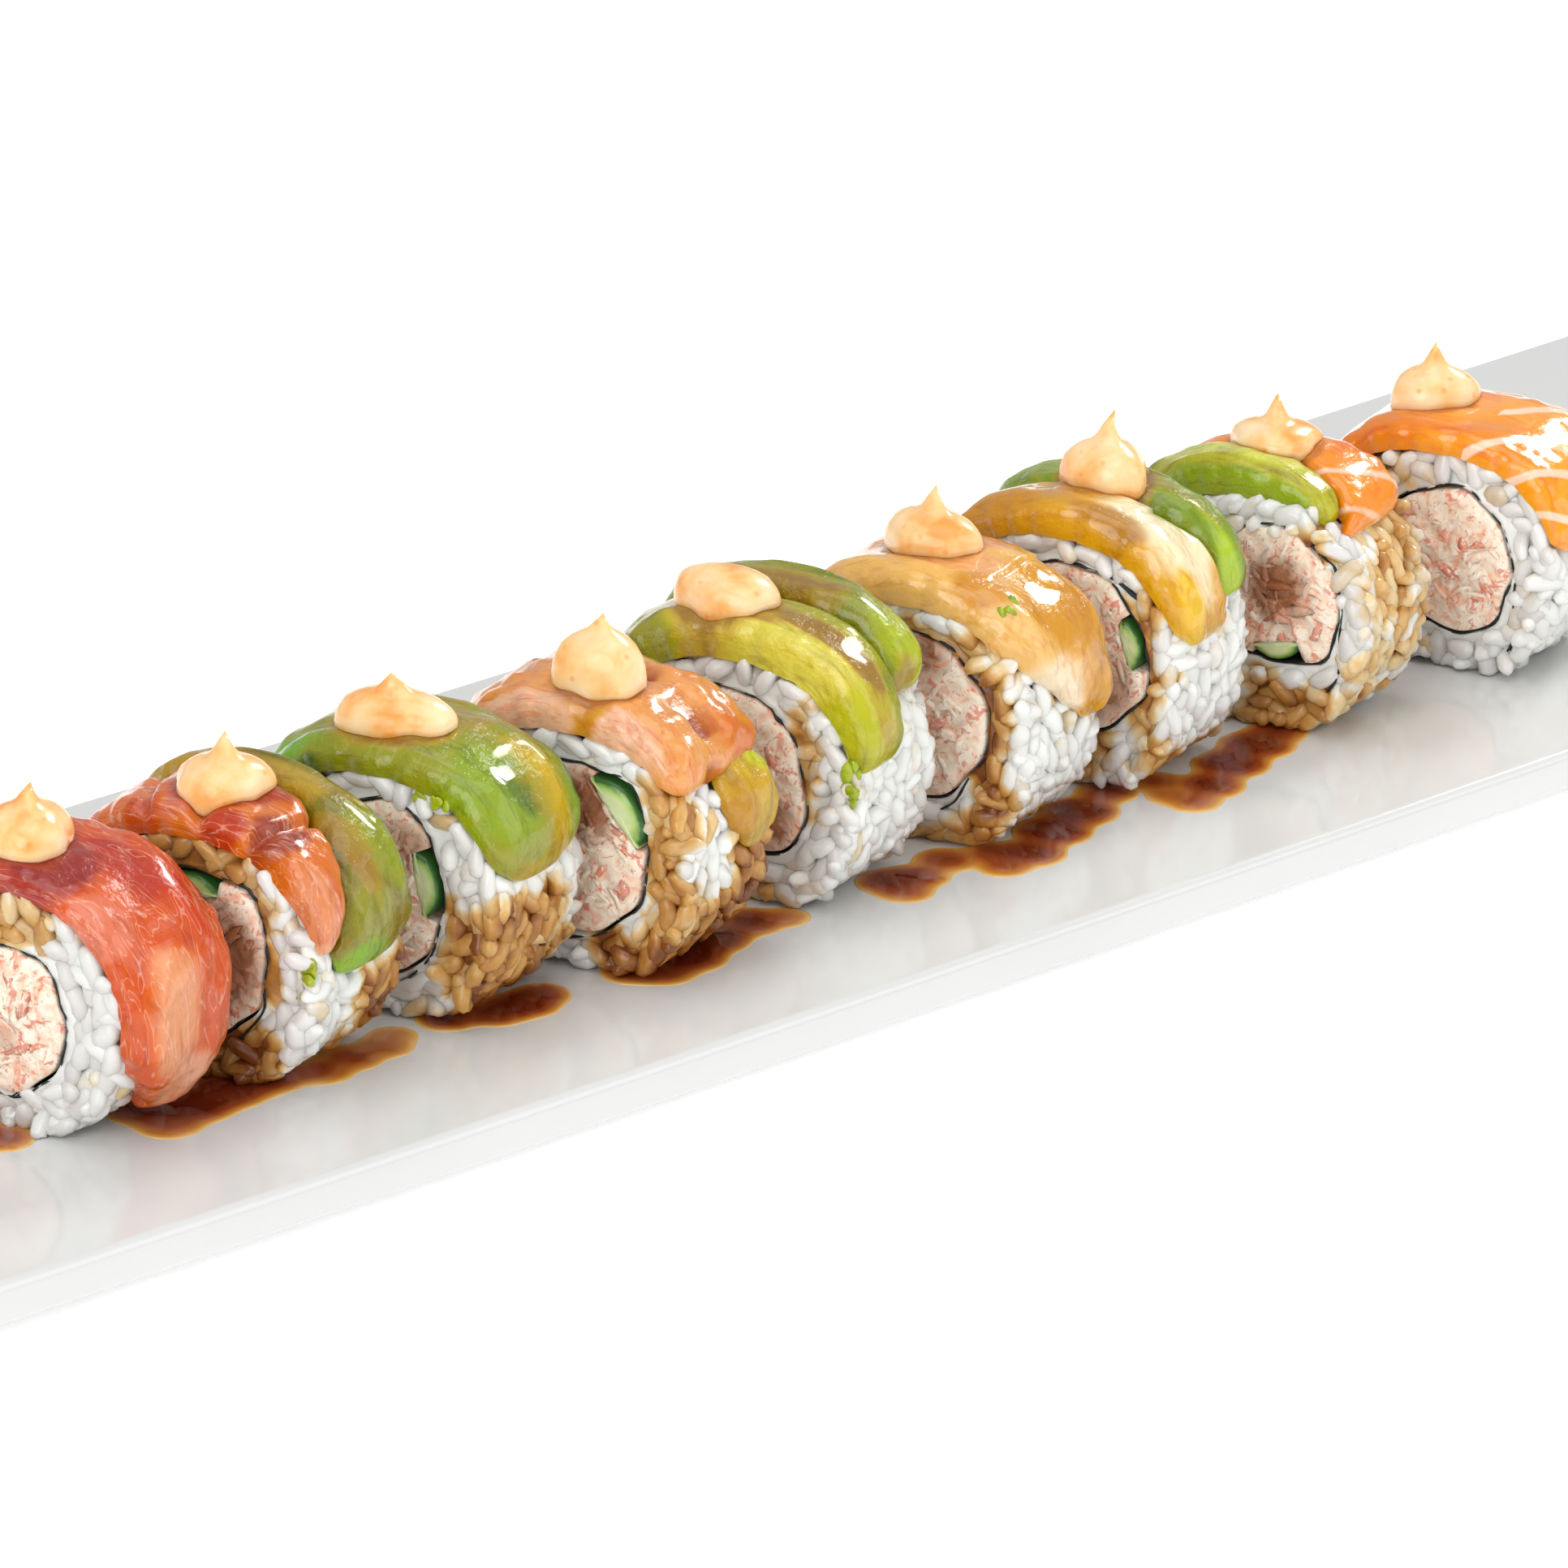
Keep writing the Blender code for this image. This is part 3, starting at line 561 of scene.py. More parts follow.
def squeeze(points, amount):
    """Presses the points to and fro a little, so that no two grains are alike."""
    x, y, z = points.T
    shift = np.stack([np.sin(1.7 * y + 0.8 * z) + np.sin(2.9 * z + 1.3 * x),
                      np.sin(1.5 * z + 1.1 * x) + np.sin(3.1 * x),
                      np.sin(1.6 * x + 0.9 * y) + np.sin(2.7 * y + 1.9 * z)], axis=1)
    return points + shift * amount


def rice_core(number, chance):
    """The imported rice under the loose-looking grains: a rough ring round the filling."""
    row = SLICES[number - 1]
    angle = np.linspace(0, math.tau, CORE_COLUMNS, endpoint=False)
    thick = row["thick"]
    levels = [(0.25, 0.0), (0.6, 0.12), (1.1, 0.35), (1.1, 0.65), (1.4, 0.9), (2.2, 1.0)]
    levels += [(thick * part, 1.0) for part in (0.25, 0.4, 0.5, 0.6, 0.75)]
    levels += [(thick - depth, part) for depth, part in reversed(levels[:6])]
    points = []
    for depth, part in levels:
        rough = chance.uniform(-CORE_ROUGHNESS, CORE_ROUGHNESS, CORE_COLUMNS)
        inner = np.stack(core_skin(row, angle, 0.35))
        outer = np.stack(rice_skin(row, angle, -1.5 + (rough if part == 1.0 else 0.0)))
        back, up = inner + (outer - inner) * part
        depths = depth + (rough * 0.6 if part < 1.0 else 0.0)
        points.append(np.stack([np.broadcast_to(depths, angle.shape), back, np.maximum(up, 0.25)], axis=1))
    return np.concatenate(points), ring_faces(len(levels), CORE_COLUMNS, close_rings=True)


for number, row in enumerate(SLICES, start=1):
    chance = np.random.default_rng(100 + number)
    groups = [face_grains(number, chance, layer, far) for layer in (0, 1) for far in (False, True)]
    groups += [side_grains(number, chance, layer) for layer in (0, 1)]
    places = np.concatenate([group[0] for group in groups])
    lengths = [item for group in groups for item in group[1]]
    outs = [item for group in groups for item in group[2]]
    painted_light_by_side = np.array([item for group in groups for item in group[3]])
    sizes = np.stack([chance.normal(1.0, 0.11, len(places)), chance.normal(1.0, 0.08, len(places)),
                      chance.normal(1.0, 0.08, len(places))], axis=1)
    points, faces = lay_grains(places, lengths, outs, sizes, chance)
    core_points, core_faces = rice_core(number, chance)
    first = len(points)
    faces += [[vertex + first for vertex in face] for face in core_faces]
    everything = np.concatenate([squeeze(points, SQUEEZE), core_points])
    everything[:, 2] = np.maximum(everything[:, 2], 0.02)
    rice = mesh_piece(f"sushi_rice_{number}", in_place(number, everything), faces, cooked_rice)
    face_outwards(rice)
    each = len(grain_points)
    depth, back, up = everything.T
    front_side = np.clip(depth - 2.5, 0, None) * (-back > 8) + np.maximum(-back, -20)
    sauce = np.where((depth < 4) | (-back > 8), soaked(number, front_side, up), 0.1)
    outwards = np.repeat(np.array(outs) / np.linalg.norm(outs, axis=1, keepdims=True), each, axis=0)
    crest = np.sum((points - np.repeat(places, each, axis=0)) * outwards, axis=1) / (GRAIN_DEPTH / 2)
    # The stain is weaker on each grain's crest and 1.2 times stronger on the core that shows between the
    # grains, so stained rice is darker in its hollows.
    sauce[:first] *= 1.0 - 0.22 * crest.clip(-1, 1)
    sauce[:first] += np.repeat(chance.normal(0, 0.09, len(places)), each)
    sauce[first:] *= 1.2
    # Each grain's painted light by side, greyer on the cut faces and whiter on the front side, with a random
    # tint added; the core between the grains gets one even value.
    tints_and_painted_shade = np.repeat(painted_light_by_side + chance.uniform(-0.25, 0.25, len(places)), each)
    paint(rice, "sauce", sauce.clip(0, 1))
    paint(rice, "tint_and_painted_shade", np.concatenate([tints_and_painted_shade, np.full(len(core_points), 0.8)]).clip(0, 1))
    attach(rice, "root")
    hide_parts(f"rice_{number}")


# The nori: one sheet of dried seaweed, softened by the rice, wound once round the filling. Its
# outer end overlaps, and in some slices it runs out into the rice as a tail.
NORI_THICKNESS = 0.27
NORI_SETBACK = 0.25
NORI_STEPS = 150
RAGGED_EDGE = 0.6
TAIL_DEGREES = 55
NORI_TURNS = {1: (200, 380, 1.2), 2: (140, 372, 1.4), 3: (160, 368, 1.2), 4: (185, 392, 4.4),
              5: (230, 384, 2.4), 6: (150, 384, 2.4), 7: (30, 400, 3.6), 8: (100, 415, 5.4),
              9: (100, 400, 4.0)}

dried_seaweed, tree, shader = new_finish("softened_nori", Roughness=0.42, IOR=1.45)
fibre = noise_on(tree, place_of(tree), 700.0, 4.0)
tone = ramp(tree, fibre, ((0.35, "#0d1210"), (0.6, "#1b2420"), (0.75, "#2d3a2c")))
tree.links.new(tone, shader.inputs["Base Color"])
add_bump(tree, shader, fibre, 0.5, 0.25)


def tube_of(name, number, rings, finish):
    """A closed piece from rings of places in a slice, with a cap on both end rings."""
    grid = np.asarray(rings)
    count, columns = grid.shape[:2]
    last = (count - 1) * columns
    faces = ring_faces(count, columns) + [list(range(columns)), list(range(last, last + columns))]
    tube = mesh_piece(name, in_place(number, grid), faces, finish)
    face_outwards(tube)
    return tube


for number, row in enumerate(SLICES, start=1):
    start, sweep, tail = NORI_TURNS[number]
    part = np.linspace(0, 1, NORI_STEPS)
    angle = np.radians(start + sweep * part)
    past = ((part * sweep - (sweep - TAIL_DEGREES)) / TAIL_DEGREES).clip(0, 1)
    wave = np.array([noise.noise(Vector((math.cos(a) * 1.7, math.sin(a) * 1.7, number * 5.0 + p * 0.8)))
                     for a, p in zip(angle, part)])
    out = 0.05 + 0.3 * wave + 0.42 * part + tail * past ** 1.6
    back, up = core_skin(row, angle, out)
    path = np.stack([back, np.maximum(up, 0.6)], axis=1)
    heading = np.gradient(path, axis=0)
    heading /= np.linalg.norm(heading, axis=1, keepdims=True)
    across = np.stack([-heading[:, 1], heading[:, 0]], axis=1) * NORI_THICKNESS / 2
    points = []
    depths = (NORI_SETBACK, row["thick"] * 0.5, row["thick"] - NORI_SETBACK)
    ragged = RAGGED_EDGE * np.array([noise.noise(Vector((p * 40.0, number, 0.0))) for p in part])
    for side in (1, -1):
        for depth in depths if side == 1 else depths[::-1]:
            shift = ragged if depth == depths[0] else 0.0
            edge = path + across * side
            points.append(np.stack([np.full(NORI_STEPS, depth) + shift, edge[:, 0], edge[:, 1]], axis=1))
    nori = tube_of(f"seaweed_sheet_{number}", number, np.stack(points, axis=1), dried_seaweed)
    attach(nori, "root")
    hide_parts(f"nori_{number}")


# The cucumber: peeled strips beside the crab in seven of the slices. The flesh is pale, wet and
# nearly clear, and darkens to green at the skin side.
CUCUMBERS = ((1, -48, 3.4, 4.2), (2, -2, 3.0, 4.6), (3, 82, 3.2, 5.0), (4, 52, 4.2, 6.0),
             (7, 78, 2.8, 3.8), (8, 172, 2.6, 4.0), (9, -142, 3.0, 3.6))
STRIP_COLUMNS = 28

cucumber_flesh, tree, shader = new_finish("cut_cucumber", Roughness=0.22, IOR=1.36, Subsurface_Weight=0.3,
                                          Subsurface_Scale=0.002, Coat_Weight=0.4, Coat_Roughness=0.08)
veins = noise_on(tree, place_of(tree), 260.0, 3.0, 0.6)
rind = noise_plus(tree, veins, 0.5, painted(tree, "rind"))
tone = ramp(tree, rind, ((0.25, "#dfe8b8"), (0.6, "#b6cf7c"), (0.88, "#6f9c42"), (1.0, "#356428")))
tree.links.new(tone, shader.inputs["Base Color"])
add_bump(tree, shader, veins, 0.3, 0.4)

strips = {}
for number, degrees, deep, half_width in CUCUMBERS:
    row = SLICES[number - 1]
    chance = np.random.default_rng(300 + number)
    centre = np.array([-row["core"][0], row["core"][1]])
    skin = np.array(core_skin(row, math.radians(degrees), -0.5))
    outward = (skin - centre) / np.linalg.norm(skin - centre)
    beside = np.array([-outward[1], outward[0]])
    reach = np.linalg.norm(skin - centre) - deep
    strips[number] = (centre, outward, beside, reach, half_width)
    turn = np.linspace(0, math.tau, STRIP_COLUMNS, endpoint=False)
    swell = 1 + 0.07 * np.sin(3 * turn + number)
    wide = np.sign(np.cos(turn)) * np.abs(np.cos(turn)) ** 0.75 * half_width * swell
    high = np.sin(turn)
    high = np.where(high > 0, high * (deep - 0.2), high * 0.5)
    high = high * (1 - 0.35 * (wide / half_width) ** 2)
    outline = centre + outward * (reach + 0.3) + np.outer(wide, beside) + np.outer(high, outward)
    levels = [(-0.35, 0.0), (-0.5, 0.5), (-0.3, 0.9), (0.2, 1.0), (row["thick"] - 0.2, 1.0),
              (row["thick"] + 0.3, 0.9), (row["thick"] + 0.4, 0.5), (row["thick"] + 0.35, 0.0)]
    middle = outline.mean(axis=0)
    points, dark = [], []
    for depth, part in levels:
        ring = middle + (outline - middle) * max(part, 0.02)
        shift = chance.uniform(-0.12, 0.12, STRIP_COLUMNS) if 0 < part < 1 else 0.0
        points.append(np.stack([np.full(STRIP_COLUMNS, depth) + shift, ring[:, 0], ring[:, 1]], axis=1))
        dark.append(np.where(np.sin(turn) > 0.1, part ** 3, 0.12 * part))
    strip = tube_of(f"cucumber_strip_{number}", number, points, cucumber_flesh)
    paint(strip, "rind", np.concatenate(dark))
    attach(strip, "root")
    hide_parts(f"cucumber_{number}")


# The crab salad: shredded crab sticks bound with mayonnaise. The white and red fibres lie every
# way in a creamy mass, cut through with the roll; sauce has browned some of it.
# Where sauce has browned it, for each slice: front, height, radius and strength
BROWNED = {1: (1.0, 13.0, 3.0, 0.5), 2: (4.5, 18.0, 7.0, 1.0), 3: (6.0, 26.0, 4.0, 0.6),
           4: (3.5, 25.0, 5.0, 1.0), 5: (5.0, 13.0, 5.0, 0.8), 6: (3.0, 29.0, 4.0, 0.7),
           7: (8.0, 16.0, 5.0, 0.7), 8: (5.5, 22.0, 5.0, 1.0)}
FILLING_COLUMNS = 84
NEAR_RINGS = (0.02, 0.1, 0.18, 0.27, 0.36, 0.45, 0.54, 0.63, 0.72, 0.81, 0.9, 0.985)
SHREDS = 64
SHRED_SIDES = 4
SHRED_RINGS = 6
SHRED_LENGTHS = (2.6, 6.0)
SHRED_WIDTHS = (0.4, 0.9)
SHRED_BEND = 0.9
SHARE_OF_RED = 0.3
SHARE_ON_FAR_FACE = 0.4
CLUMP_HEIGHT = 0.7
GRIT_HEIGHT = 0.35
FACE_BULGE = 0.25

crab_salad, tree, shader = new_finish("shredded_crab_salad", Roughness=0.4, IOR=1.42, Coat_Weight=0.1,
                                      Coat_Roughness=0.15)
place = place_of(tree)
clumps = noise_on(tree, place, 330.0, 5.0, 1.4)
cream = ramp(tree, clumps, ((0.3, "#f4b294"), (0.42, "#fcd8bc"), (0.55, "#fff4e2"), (0.75, "#fde4c2")))
redness = noise_plus(tree, noise_on(tree, place, 520.0, 3.0, 2.2), 1.0, painted(tree, "red"))
red_mask = ramp(tree, redness, ((0.56, "#000000"), (0.66, "#d8d8d8")))
tone = blend_colours(tree, red_mask, cream, "#dc5f45")
brown_edge = add_node(tree, "ShaderNodeMath", {"operation": "MULTIPLY"},
                      {0: painted(tree, "sauce"), 1: clumps})
brown_mask = ramp(tree, brown_edge.outputs[0], ((0.1, "#000000"), (0.42, "#f4f4f4")))
tone = blend_colours(tree, brown_mask, tone, "#96521e")
tree.links.new(tone, shader.inputs["Base Color"])
add_bump(tree, shader, clumps, 0.45, 0.8)


def browned(number, back, up):
    """How far sauce has browned the filling at a place on its cut face."""
    if number not in BROWNED:
        return 0.0
    front, height, radius, strength = BROWNED[number]
    away = math.hypot(-back - front, up - height) / radius
    return strength * max(0.0, min(1.0, 1.5 - away))


for number, row in enumerate(SLICES, start=1):
    chance = np.random.default_rng(400 + number)
    angle = np.linspace(0, math.tau, FILLING_COLUMNS, endpoint=False)
    thick = row["thick"]
    levels = [(0.0, part) for part in NEAR_RINGS] + [(0.35, 1.0), (thick - 0.35, 1.0)]
    levels += [(thick, part) for part in reversed(NEAR_RINGS)]
    points, reds, sauces = [], [], []
    for depth, part in levels:
        skin_back, skin_up = core_skin(row, angle, -0.15)
        back = -row["core"][0] + (skin_back + row["core"][0]) * part
        up = row["core"][1] + (skin_up - row["core"][1]) * part
        if number in strips:
            centre, outward, beside, reach, half_width = strips[number]
            from_centre = np.stack([back, up], axis=1) - centre
            past = np.maximum(from_centre @ outward - (reach - 0.1), 0)
            past *= np.abs(from_centre @ beside) < half_width
            back = back - past * outward[0]
            up = up - past * outward[1]
        for place_back, place_up in zip(back, up):
            rough = noise.fractal(Vector((place_back * 0.5, place_up * 0.5, number * 9.0)), 0.6, 2.0, 4)
            fine = noise.noise(Vector((place_back * 1.5, place_up * 1.5, number * 4.0)))
            lift = (rough * CLUMP_HEIGHT + fine * GRIT_HEIGHT + FACE_BULGE) if part < 0.95 else 0.0
            points.append((depth - lift if depth < thick / 2 else depth + lift, place_back, place_up))
            reds.append(0.12 * rough)
            sauces.append(browned(number, place_back, place_up) if depth < thick / 2 else 0.0)
    faces = ring_faces(len(levels), FILLING_COLUMNS)
    last = len(points)
    faces += [list(range(FILLING_COLUMNS)), list(range(last - FILLING_COLUMNS, last))]
    for _ in range(SHREDS):
        at_angle = chance.uniform(0, math.tau)
        part = math.sqrt(chance.uniform(0, 0.86))
        skin_back, skin_up = core_skin(row, at_angle, -1.6)
        back = -row["core"][0] + (skin_back + row["core"][0]) * part
        up = row["core"][1] + (skin_up - row["core"][1]) * part
        heading = chance.uniform(0, math.pi)
        length = chance.uniform(*SHRED_LENGTHS)
        bend = chance.uniform(-SHRED_BEND, SHRED_BEND)
        wide = chance.uniform(*SHRED_WIDTHS)
        far_side = chance.uniform() < SHARE_ON_FAR_FACE
        red = 0.2 if chance.uniform() < SHARE_OF_RED else -0.15
        brown = 0.0 if far_side else browned(number, back, up)
        first = len(points)
        for ring in range(SHRED_RINGS):
            t = ring / (SHRED_RINGS - 1) * 2 - 1
            here_back = back + t * length / 2 * math.cos(heading) - bend * t * t * math.sin(heading)
            here_up = up + t * length / 2 * math.sin(heading) + bend * t * t * math.cos(heading)
            if number in strips:
                centre, outward, beside, reach, half_width = strips[number]
                past = (here_back - centre[0]) * outward[0] + (here_up - centre[1]) * outward[1] - reach + 0.4
                here_back -= max(past, 0) * outward[0]
                here_up -= max(past, 0) * outward[1]
            size = wide * max(0.15, (1 - t * t) ** 0.4)
            for side in range(SHRED_SIDES):
                turn = math.tau * side / SHRED_SIDES + heading
                depth = -0.35 + 0.4 * size * math.cos(turn) + 0.3 * t * t
                off = size * math.sin(turn)
                points.append((thick - depth if far_side else depth, here_back - off * math.sin(heading),
                               here_up + off * math.cos(heading)))
                reds.append(red)
                sauces.append(brown)
        faces += [[vertex + first for vertex in face] for face in ring_faces(SHRED_RINGS, SHRED_SIDES)]
        for end in (first, first + (SHRED_RINGS - 1) * SHRED_SIDES):
            faces.append(list(range(end, end + SHRED_SIDES)))
    crab = mesh_piece(f"crab_salad_{number}", in_place(number, points), faces, crab_salad)
    face_outwards(crab)
    paint(crab, "red", reds)
    paint(crab, "sauce", sauces)
    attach(crab, "root")
    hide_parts(f"crab_{number}")


# The toppings are thin slices cut on a slant and pressed over the roll under film, then cut
# through with it, so their long edges are flush with the cut faces and their ends thin out.
COLUMNS_ALONG = 170
POINTS_AROUND = 60
ROLL_RADIUS = 21.0
THIN_DEGREES = 38.0
TOPPING_LOWEST = 0.6
GLAZE_RING = 1.6
surfaces = {number: [] for number in range(1, len(SLICES) + 1)}

# The dollops on them: slice, mm from the cut face and behind the middle, radius along and
# across, height of the dome and of its peak, and how far the peak leans.
DOLLOPS = ((1, 9.0, 0.5, 6.4, 6.8, 5.2, 8.0, 1.0), (2, 8.8, 0.2, 6.2, 7.0, 4.6, 8.2, 0.6),
           (3, 8.2, 1.9, 5.8, 8.8, 4.6, 7.4, -0.6), (4, 7.0, -1.3, 5.6, 6.4, 7.0, 9.4, 0.8),
           (5, 6.2, 5.0, 5.8, 7.8, 4.6, 4.9, 0.0), (6, 12.5, 3.2, 5.8, 7.6, 4.4, 8.0, 1.2),
           (7, 14.2, 0.2, 6.0, 7.0, 5.6, 9.6, 2.6), (8, 13.0, 2.2, 5.6, 7.2, 3.2, 7.4, 0.4),
           (9, 11.4, 6.8, 5.8, 6.6, 5.2, 9.0, 0.4))


def eased(part):
    """0 to 1 with a soft start and end."""
    return part * part * (3 - 2 * part)


def unevenness(along, across, seed):
    """Smooth random values from -1 to 1 over a surface, about one bump to a unit."""
    table = np.random.default_rng(seed).uniform(-1, 1, (64, 64))
    left, low = np.floor(along).astype(int), np.floor(across).astype(int)
    part_left, part_low = eased(along - left), eased(across - low)

    def row_at(line):
        ahead = table[(left + 1) % 64, line % 64]
        return table[left % 64, line % 64] * (1 - part_left) + ahead * part_left

    return row_at(low) * (1 - part_low) + row_at(low + 1) * part_low


def patch(degrees, depth, at_degrees, at_depth, wide_degrees, wide_depth):
    """1 in the middle of a ragged oval patch on a topping, falling to 0 at its edge."""
    ragged = 0.25 * unevenness(degrees / 14, depth / 3, int(at_degrees + 7 * at_depth) % 97 + 3)
    away = ((degrees - at_degrees) / wide_degrees) ** 2 + ((depth - at_depth) / wide_depth) ** 2
    return eased(np.clip(1.5 * (1 - away + ragged), 0, 1))


def groove(distance, width, deep):
    """A furrow of this depth along a line, from the distance to it."""
    return -deep * np.exp(-(distance / width) ** 2)


def ledge(distance, width, high):
    """The step where one layer lies over the next."""
    return high / (1 + np.exp(-distance / width))


def paint_tone(piece, tones):
    """Stores a colour a point, which painted_tone reads."""
    layer = piece.data.attributes.new("tone", "FLOAT_COLOR", "POINT")
    layer.data.foreach_set("color", np.ascontiguousarray(tones).ravel())


def corner_points(piece):
    """The point that each corner of the piece's faces stands on."""
    corners = np.empty(len(piece.data.loops), np.int32)
    piece.data.loops.foreach_get("vertex_index", corners)
    return corners


def drape(topping, finish, name, relief, ground_tone, patches, syrup, boxy=0.55, end_width=13.0,
          end_point=0.5):
    """A slice laid over the rice. relief gives mm added at (degrees, across 0 to 1, depth), the
    patches are (degrees, depth, half sizes, colour, strength), and syrup patches carry glaze."""
    row = SLICES[topping["slice"] - 1]
    first, last = RUNS[topping["node"]]
    degrees = np.linspace(first, last, COLUMNS_ALONG)[:, None] * np.ones(POINTS_AROUND)
    turn = np.linspace(0, math.tau, POINTS_AROUND, endpoint=False)[None, :] * np.ones((COLUMNS_ALONG, 1))
    near, far = between(topping["near"], degrees), between(topping["far"], degrees)
    from_end = np.minimum(degrees - first, last - degrees)
    close = np.clip(from_end / end_width, 0, 1)
    taper = np.sqrt(1 - (1 - close) ** 2)
    thinning = 0.45 + 0.55 * np.clip(from_end / THIN_DEGREES, 0, 1) ** 0.7
    half = (far - near) / 2 * (end_point + (1 - end_point) * taper)
    cosine, sine = np.cos(turn), np.sin(turn)
    across = -np.sign(cosine) * np.abs(cosine) ** boxy
    lift = np.where(sine > 0, np.abs(sine) ** boxy, 0.0)
    edge = 0.35 * unevenness(degrees / 5, across * 2 + 9, 5)
    depth = (near + far) / 2 + half * across + edge * np.abs(across) * (close > 0.2)
    share = (across + 1) / 2
    raised = relief(degrees, share, depth) * np.minimum(1.0, lift * 1.3) * (0.3 + 0.7 * taper)
    out = 0.1 + topping["thick"] * thinning * (0.2 + 0.8 * taper) * lift + np.where(sine > 0, raised, 0.0)
    out = np.where(sine < 0, 0.1 - 0.5 * np.abs(sine) ** 0.5 * (0.3 + 0.7 * taper), out)
    back, up = rice_skin(row, np.radians(degrees), out)
    rings = np.stack([depth, back, np.maximum(up, TOPPING_LOWEST)], axis=-1)
    piece = tube_of(name, topping["slice"], rings, finish)
    tone = np.ones((*degrees.shape, 3)) * colour_of(ground_tone)[:3]
    for *place_and_size, hex_code, strength in patches:
        part = patch(degrees, depth, *place_and_size)[..., None] * strength
        tone = tone * (1 - part) + np.array(colour_of(hex_code)[:3]) * part
    paint_tone(piece, np.concatenate([tone, np.ones((*degrees.shape, 1))], axis=-1))
    glaze = np.full(degrees.shape, 0.1)
    for number, depth_at, back_at, along, behind, *_ in DOLLOPS:
        if number == topping["slice"]:
            away = np.hypot((depth - depth_at) / (along + GLAZE_RING),
                            (back - back_at) / (behind + GLAZE_RING))
            glaze = np.maximum(glaze, 0.75 * np.clip(4 * (1.06 - away), 0, 1))
    for *place_and_size, strength in syrup:
        glaze = np.maximum(glaze, strength * patch(degrees, depth, *place_and_size))
    paint(piece, "glaze", glaze.ravel())
    ribbon = piece.data.uv_layers.new(name="ribbon")
    corners = corner_points(piece)
    lengthways = (np.radians(degrees - first) * ROLL_RADIUS).ravel()[corners]
    over_edge = depth + np.sign(across) * (1 - lift) * topping["thick"]
    ribbon.data.foreach_set("uv", np.stack([lengthways, over_edge.ravel()[corners]], axis=1).ravel() / 10)
    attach(piece, "root")
    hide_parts(topping["node"])
    surfaces[topping["slice"]].append(piece)
    return piece


def topping_of(node):
    """The run of the topping with this node's name."""
    return next(topping for topping in TOPPINGS if topping["node"] == node)


def flesh_streaks(tree, along, across, turn, scale, detail, distortion):
    """Streaks that follow a topping's length, as a noise output; uv units are centimetres."""
    ribbon = add_node(tree, "ShaderNodeUVMap", {"uv_map": "ribbon"})
    stretch = add_node(tree, "ShaderNodeMapping", links={"Vector": ribbon.outputs["UV"]},
                       Scale=(along, across, 1.0), Rotation=(0, 0, turn))
    return noise_on(tree, stretch.outputs["Vector"], scale, detail, distortion)


def painted_tone(tree):
    """The colour painted on the piece's points, deepened by the glaze that wets it all."""
    plain = add_node(tree, "ShaderNodeAttribute", {"attribute_name": "tone"}).outputs["Color"]
    return add_node(tree, "ShaderNodeHueSaturation", links={"Color": plain}, Saturation=1.25,
                    Value=0.95).outputs["Color"]


def glaze_over(tree, tone, scale, thin, thick):
    """Brown glaze over a colour, amber where it is thin and darker where it has pooled."""
    runs = noise_on(tree, place_of(tree), scale, 4.0, 1.2)
    amount = noise_plus(tree, runs, 0.55, painted(tree, "glaze"))
    cover = ramp(tree, amount, ((0.40, "#000000"), (0.62, "#909090"), (1.0, "#e8e8e8")))
    syrup = ramp(tree, amount, ((0.50, thin), (0.95, thick)))
    return blend_colours(tree, cover, tone, syrup)


def wet_flesh(name, streaks, shades, weight, marks, glaze, grit, **settings):
    """A topping's finish: its painted colours, streaks along it shaded by a ramp, the marks that
    one kind alone has, brown glaze (pattern size, thin and thick colour) and fine grit in relief."""
    finish, tree, shader = new_finish(name, **settings)
    shade = ramp(tree, flesh_streaks(tree, *streaks), shades)
    tone = blend_colours(tree, weight, painted_tone(tree), shade, "MULTIPLY")
    tone = glaze_over(tree, marks(tree, tone) if marks else tone, *glaze)
    tree.links.new(tone, shader.inputs["Base Color"])
    size, detail, strength, height = grit
    add_bump(tree, shader, noise_on(tree, place_of(tree), size, detail), strength, height)
    return finish


# Avocado: soft buttery fruit, green under the skin and yellow towards the stone. The cut shows
# faint ridges along the slice, and the glaze pools amber on it.
avocado = wet_flesh("sliced_avocado", (0.7, 2.2, 0.15, 2.2, 3.0, 1.2),
                    ((0.28, "#cfc79a"), (0.5, "#ffffff"), (0.72, "#fffce4")), 0.85, None,
                    (230.0, "#cf921c", "#8f5a12"), (330.0, 5.0, 0.8, 1.4), Roughness=0.26, IOR=1.42,
                    Subsurface_Weight=0.08, Subsurface_Scale=0.0015, Subsurface_Radius=(1.0, 0.8, 0.3),
                    Coat_Weight=0.6, Coat_Roughness=0.06)


def avocado_relief(degrees, across, depth):
    """Soft lengthways ridges and a slight crown."""
    ridges = 0.45 * unevenness(degrees / 22, depth / 2.6, 11)
    ridges += 0.22 * unevenness(degrees / 7, depth / 1.2, 12)
    return ridges + 0.5 * (1 - (2 * across - 1) ** 2) - 0.3


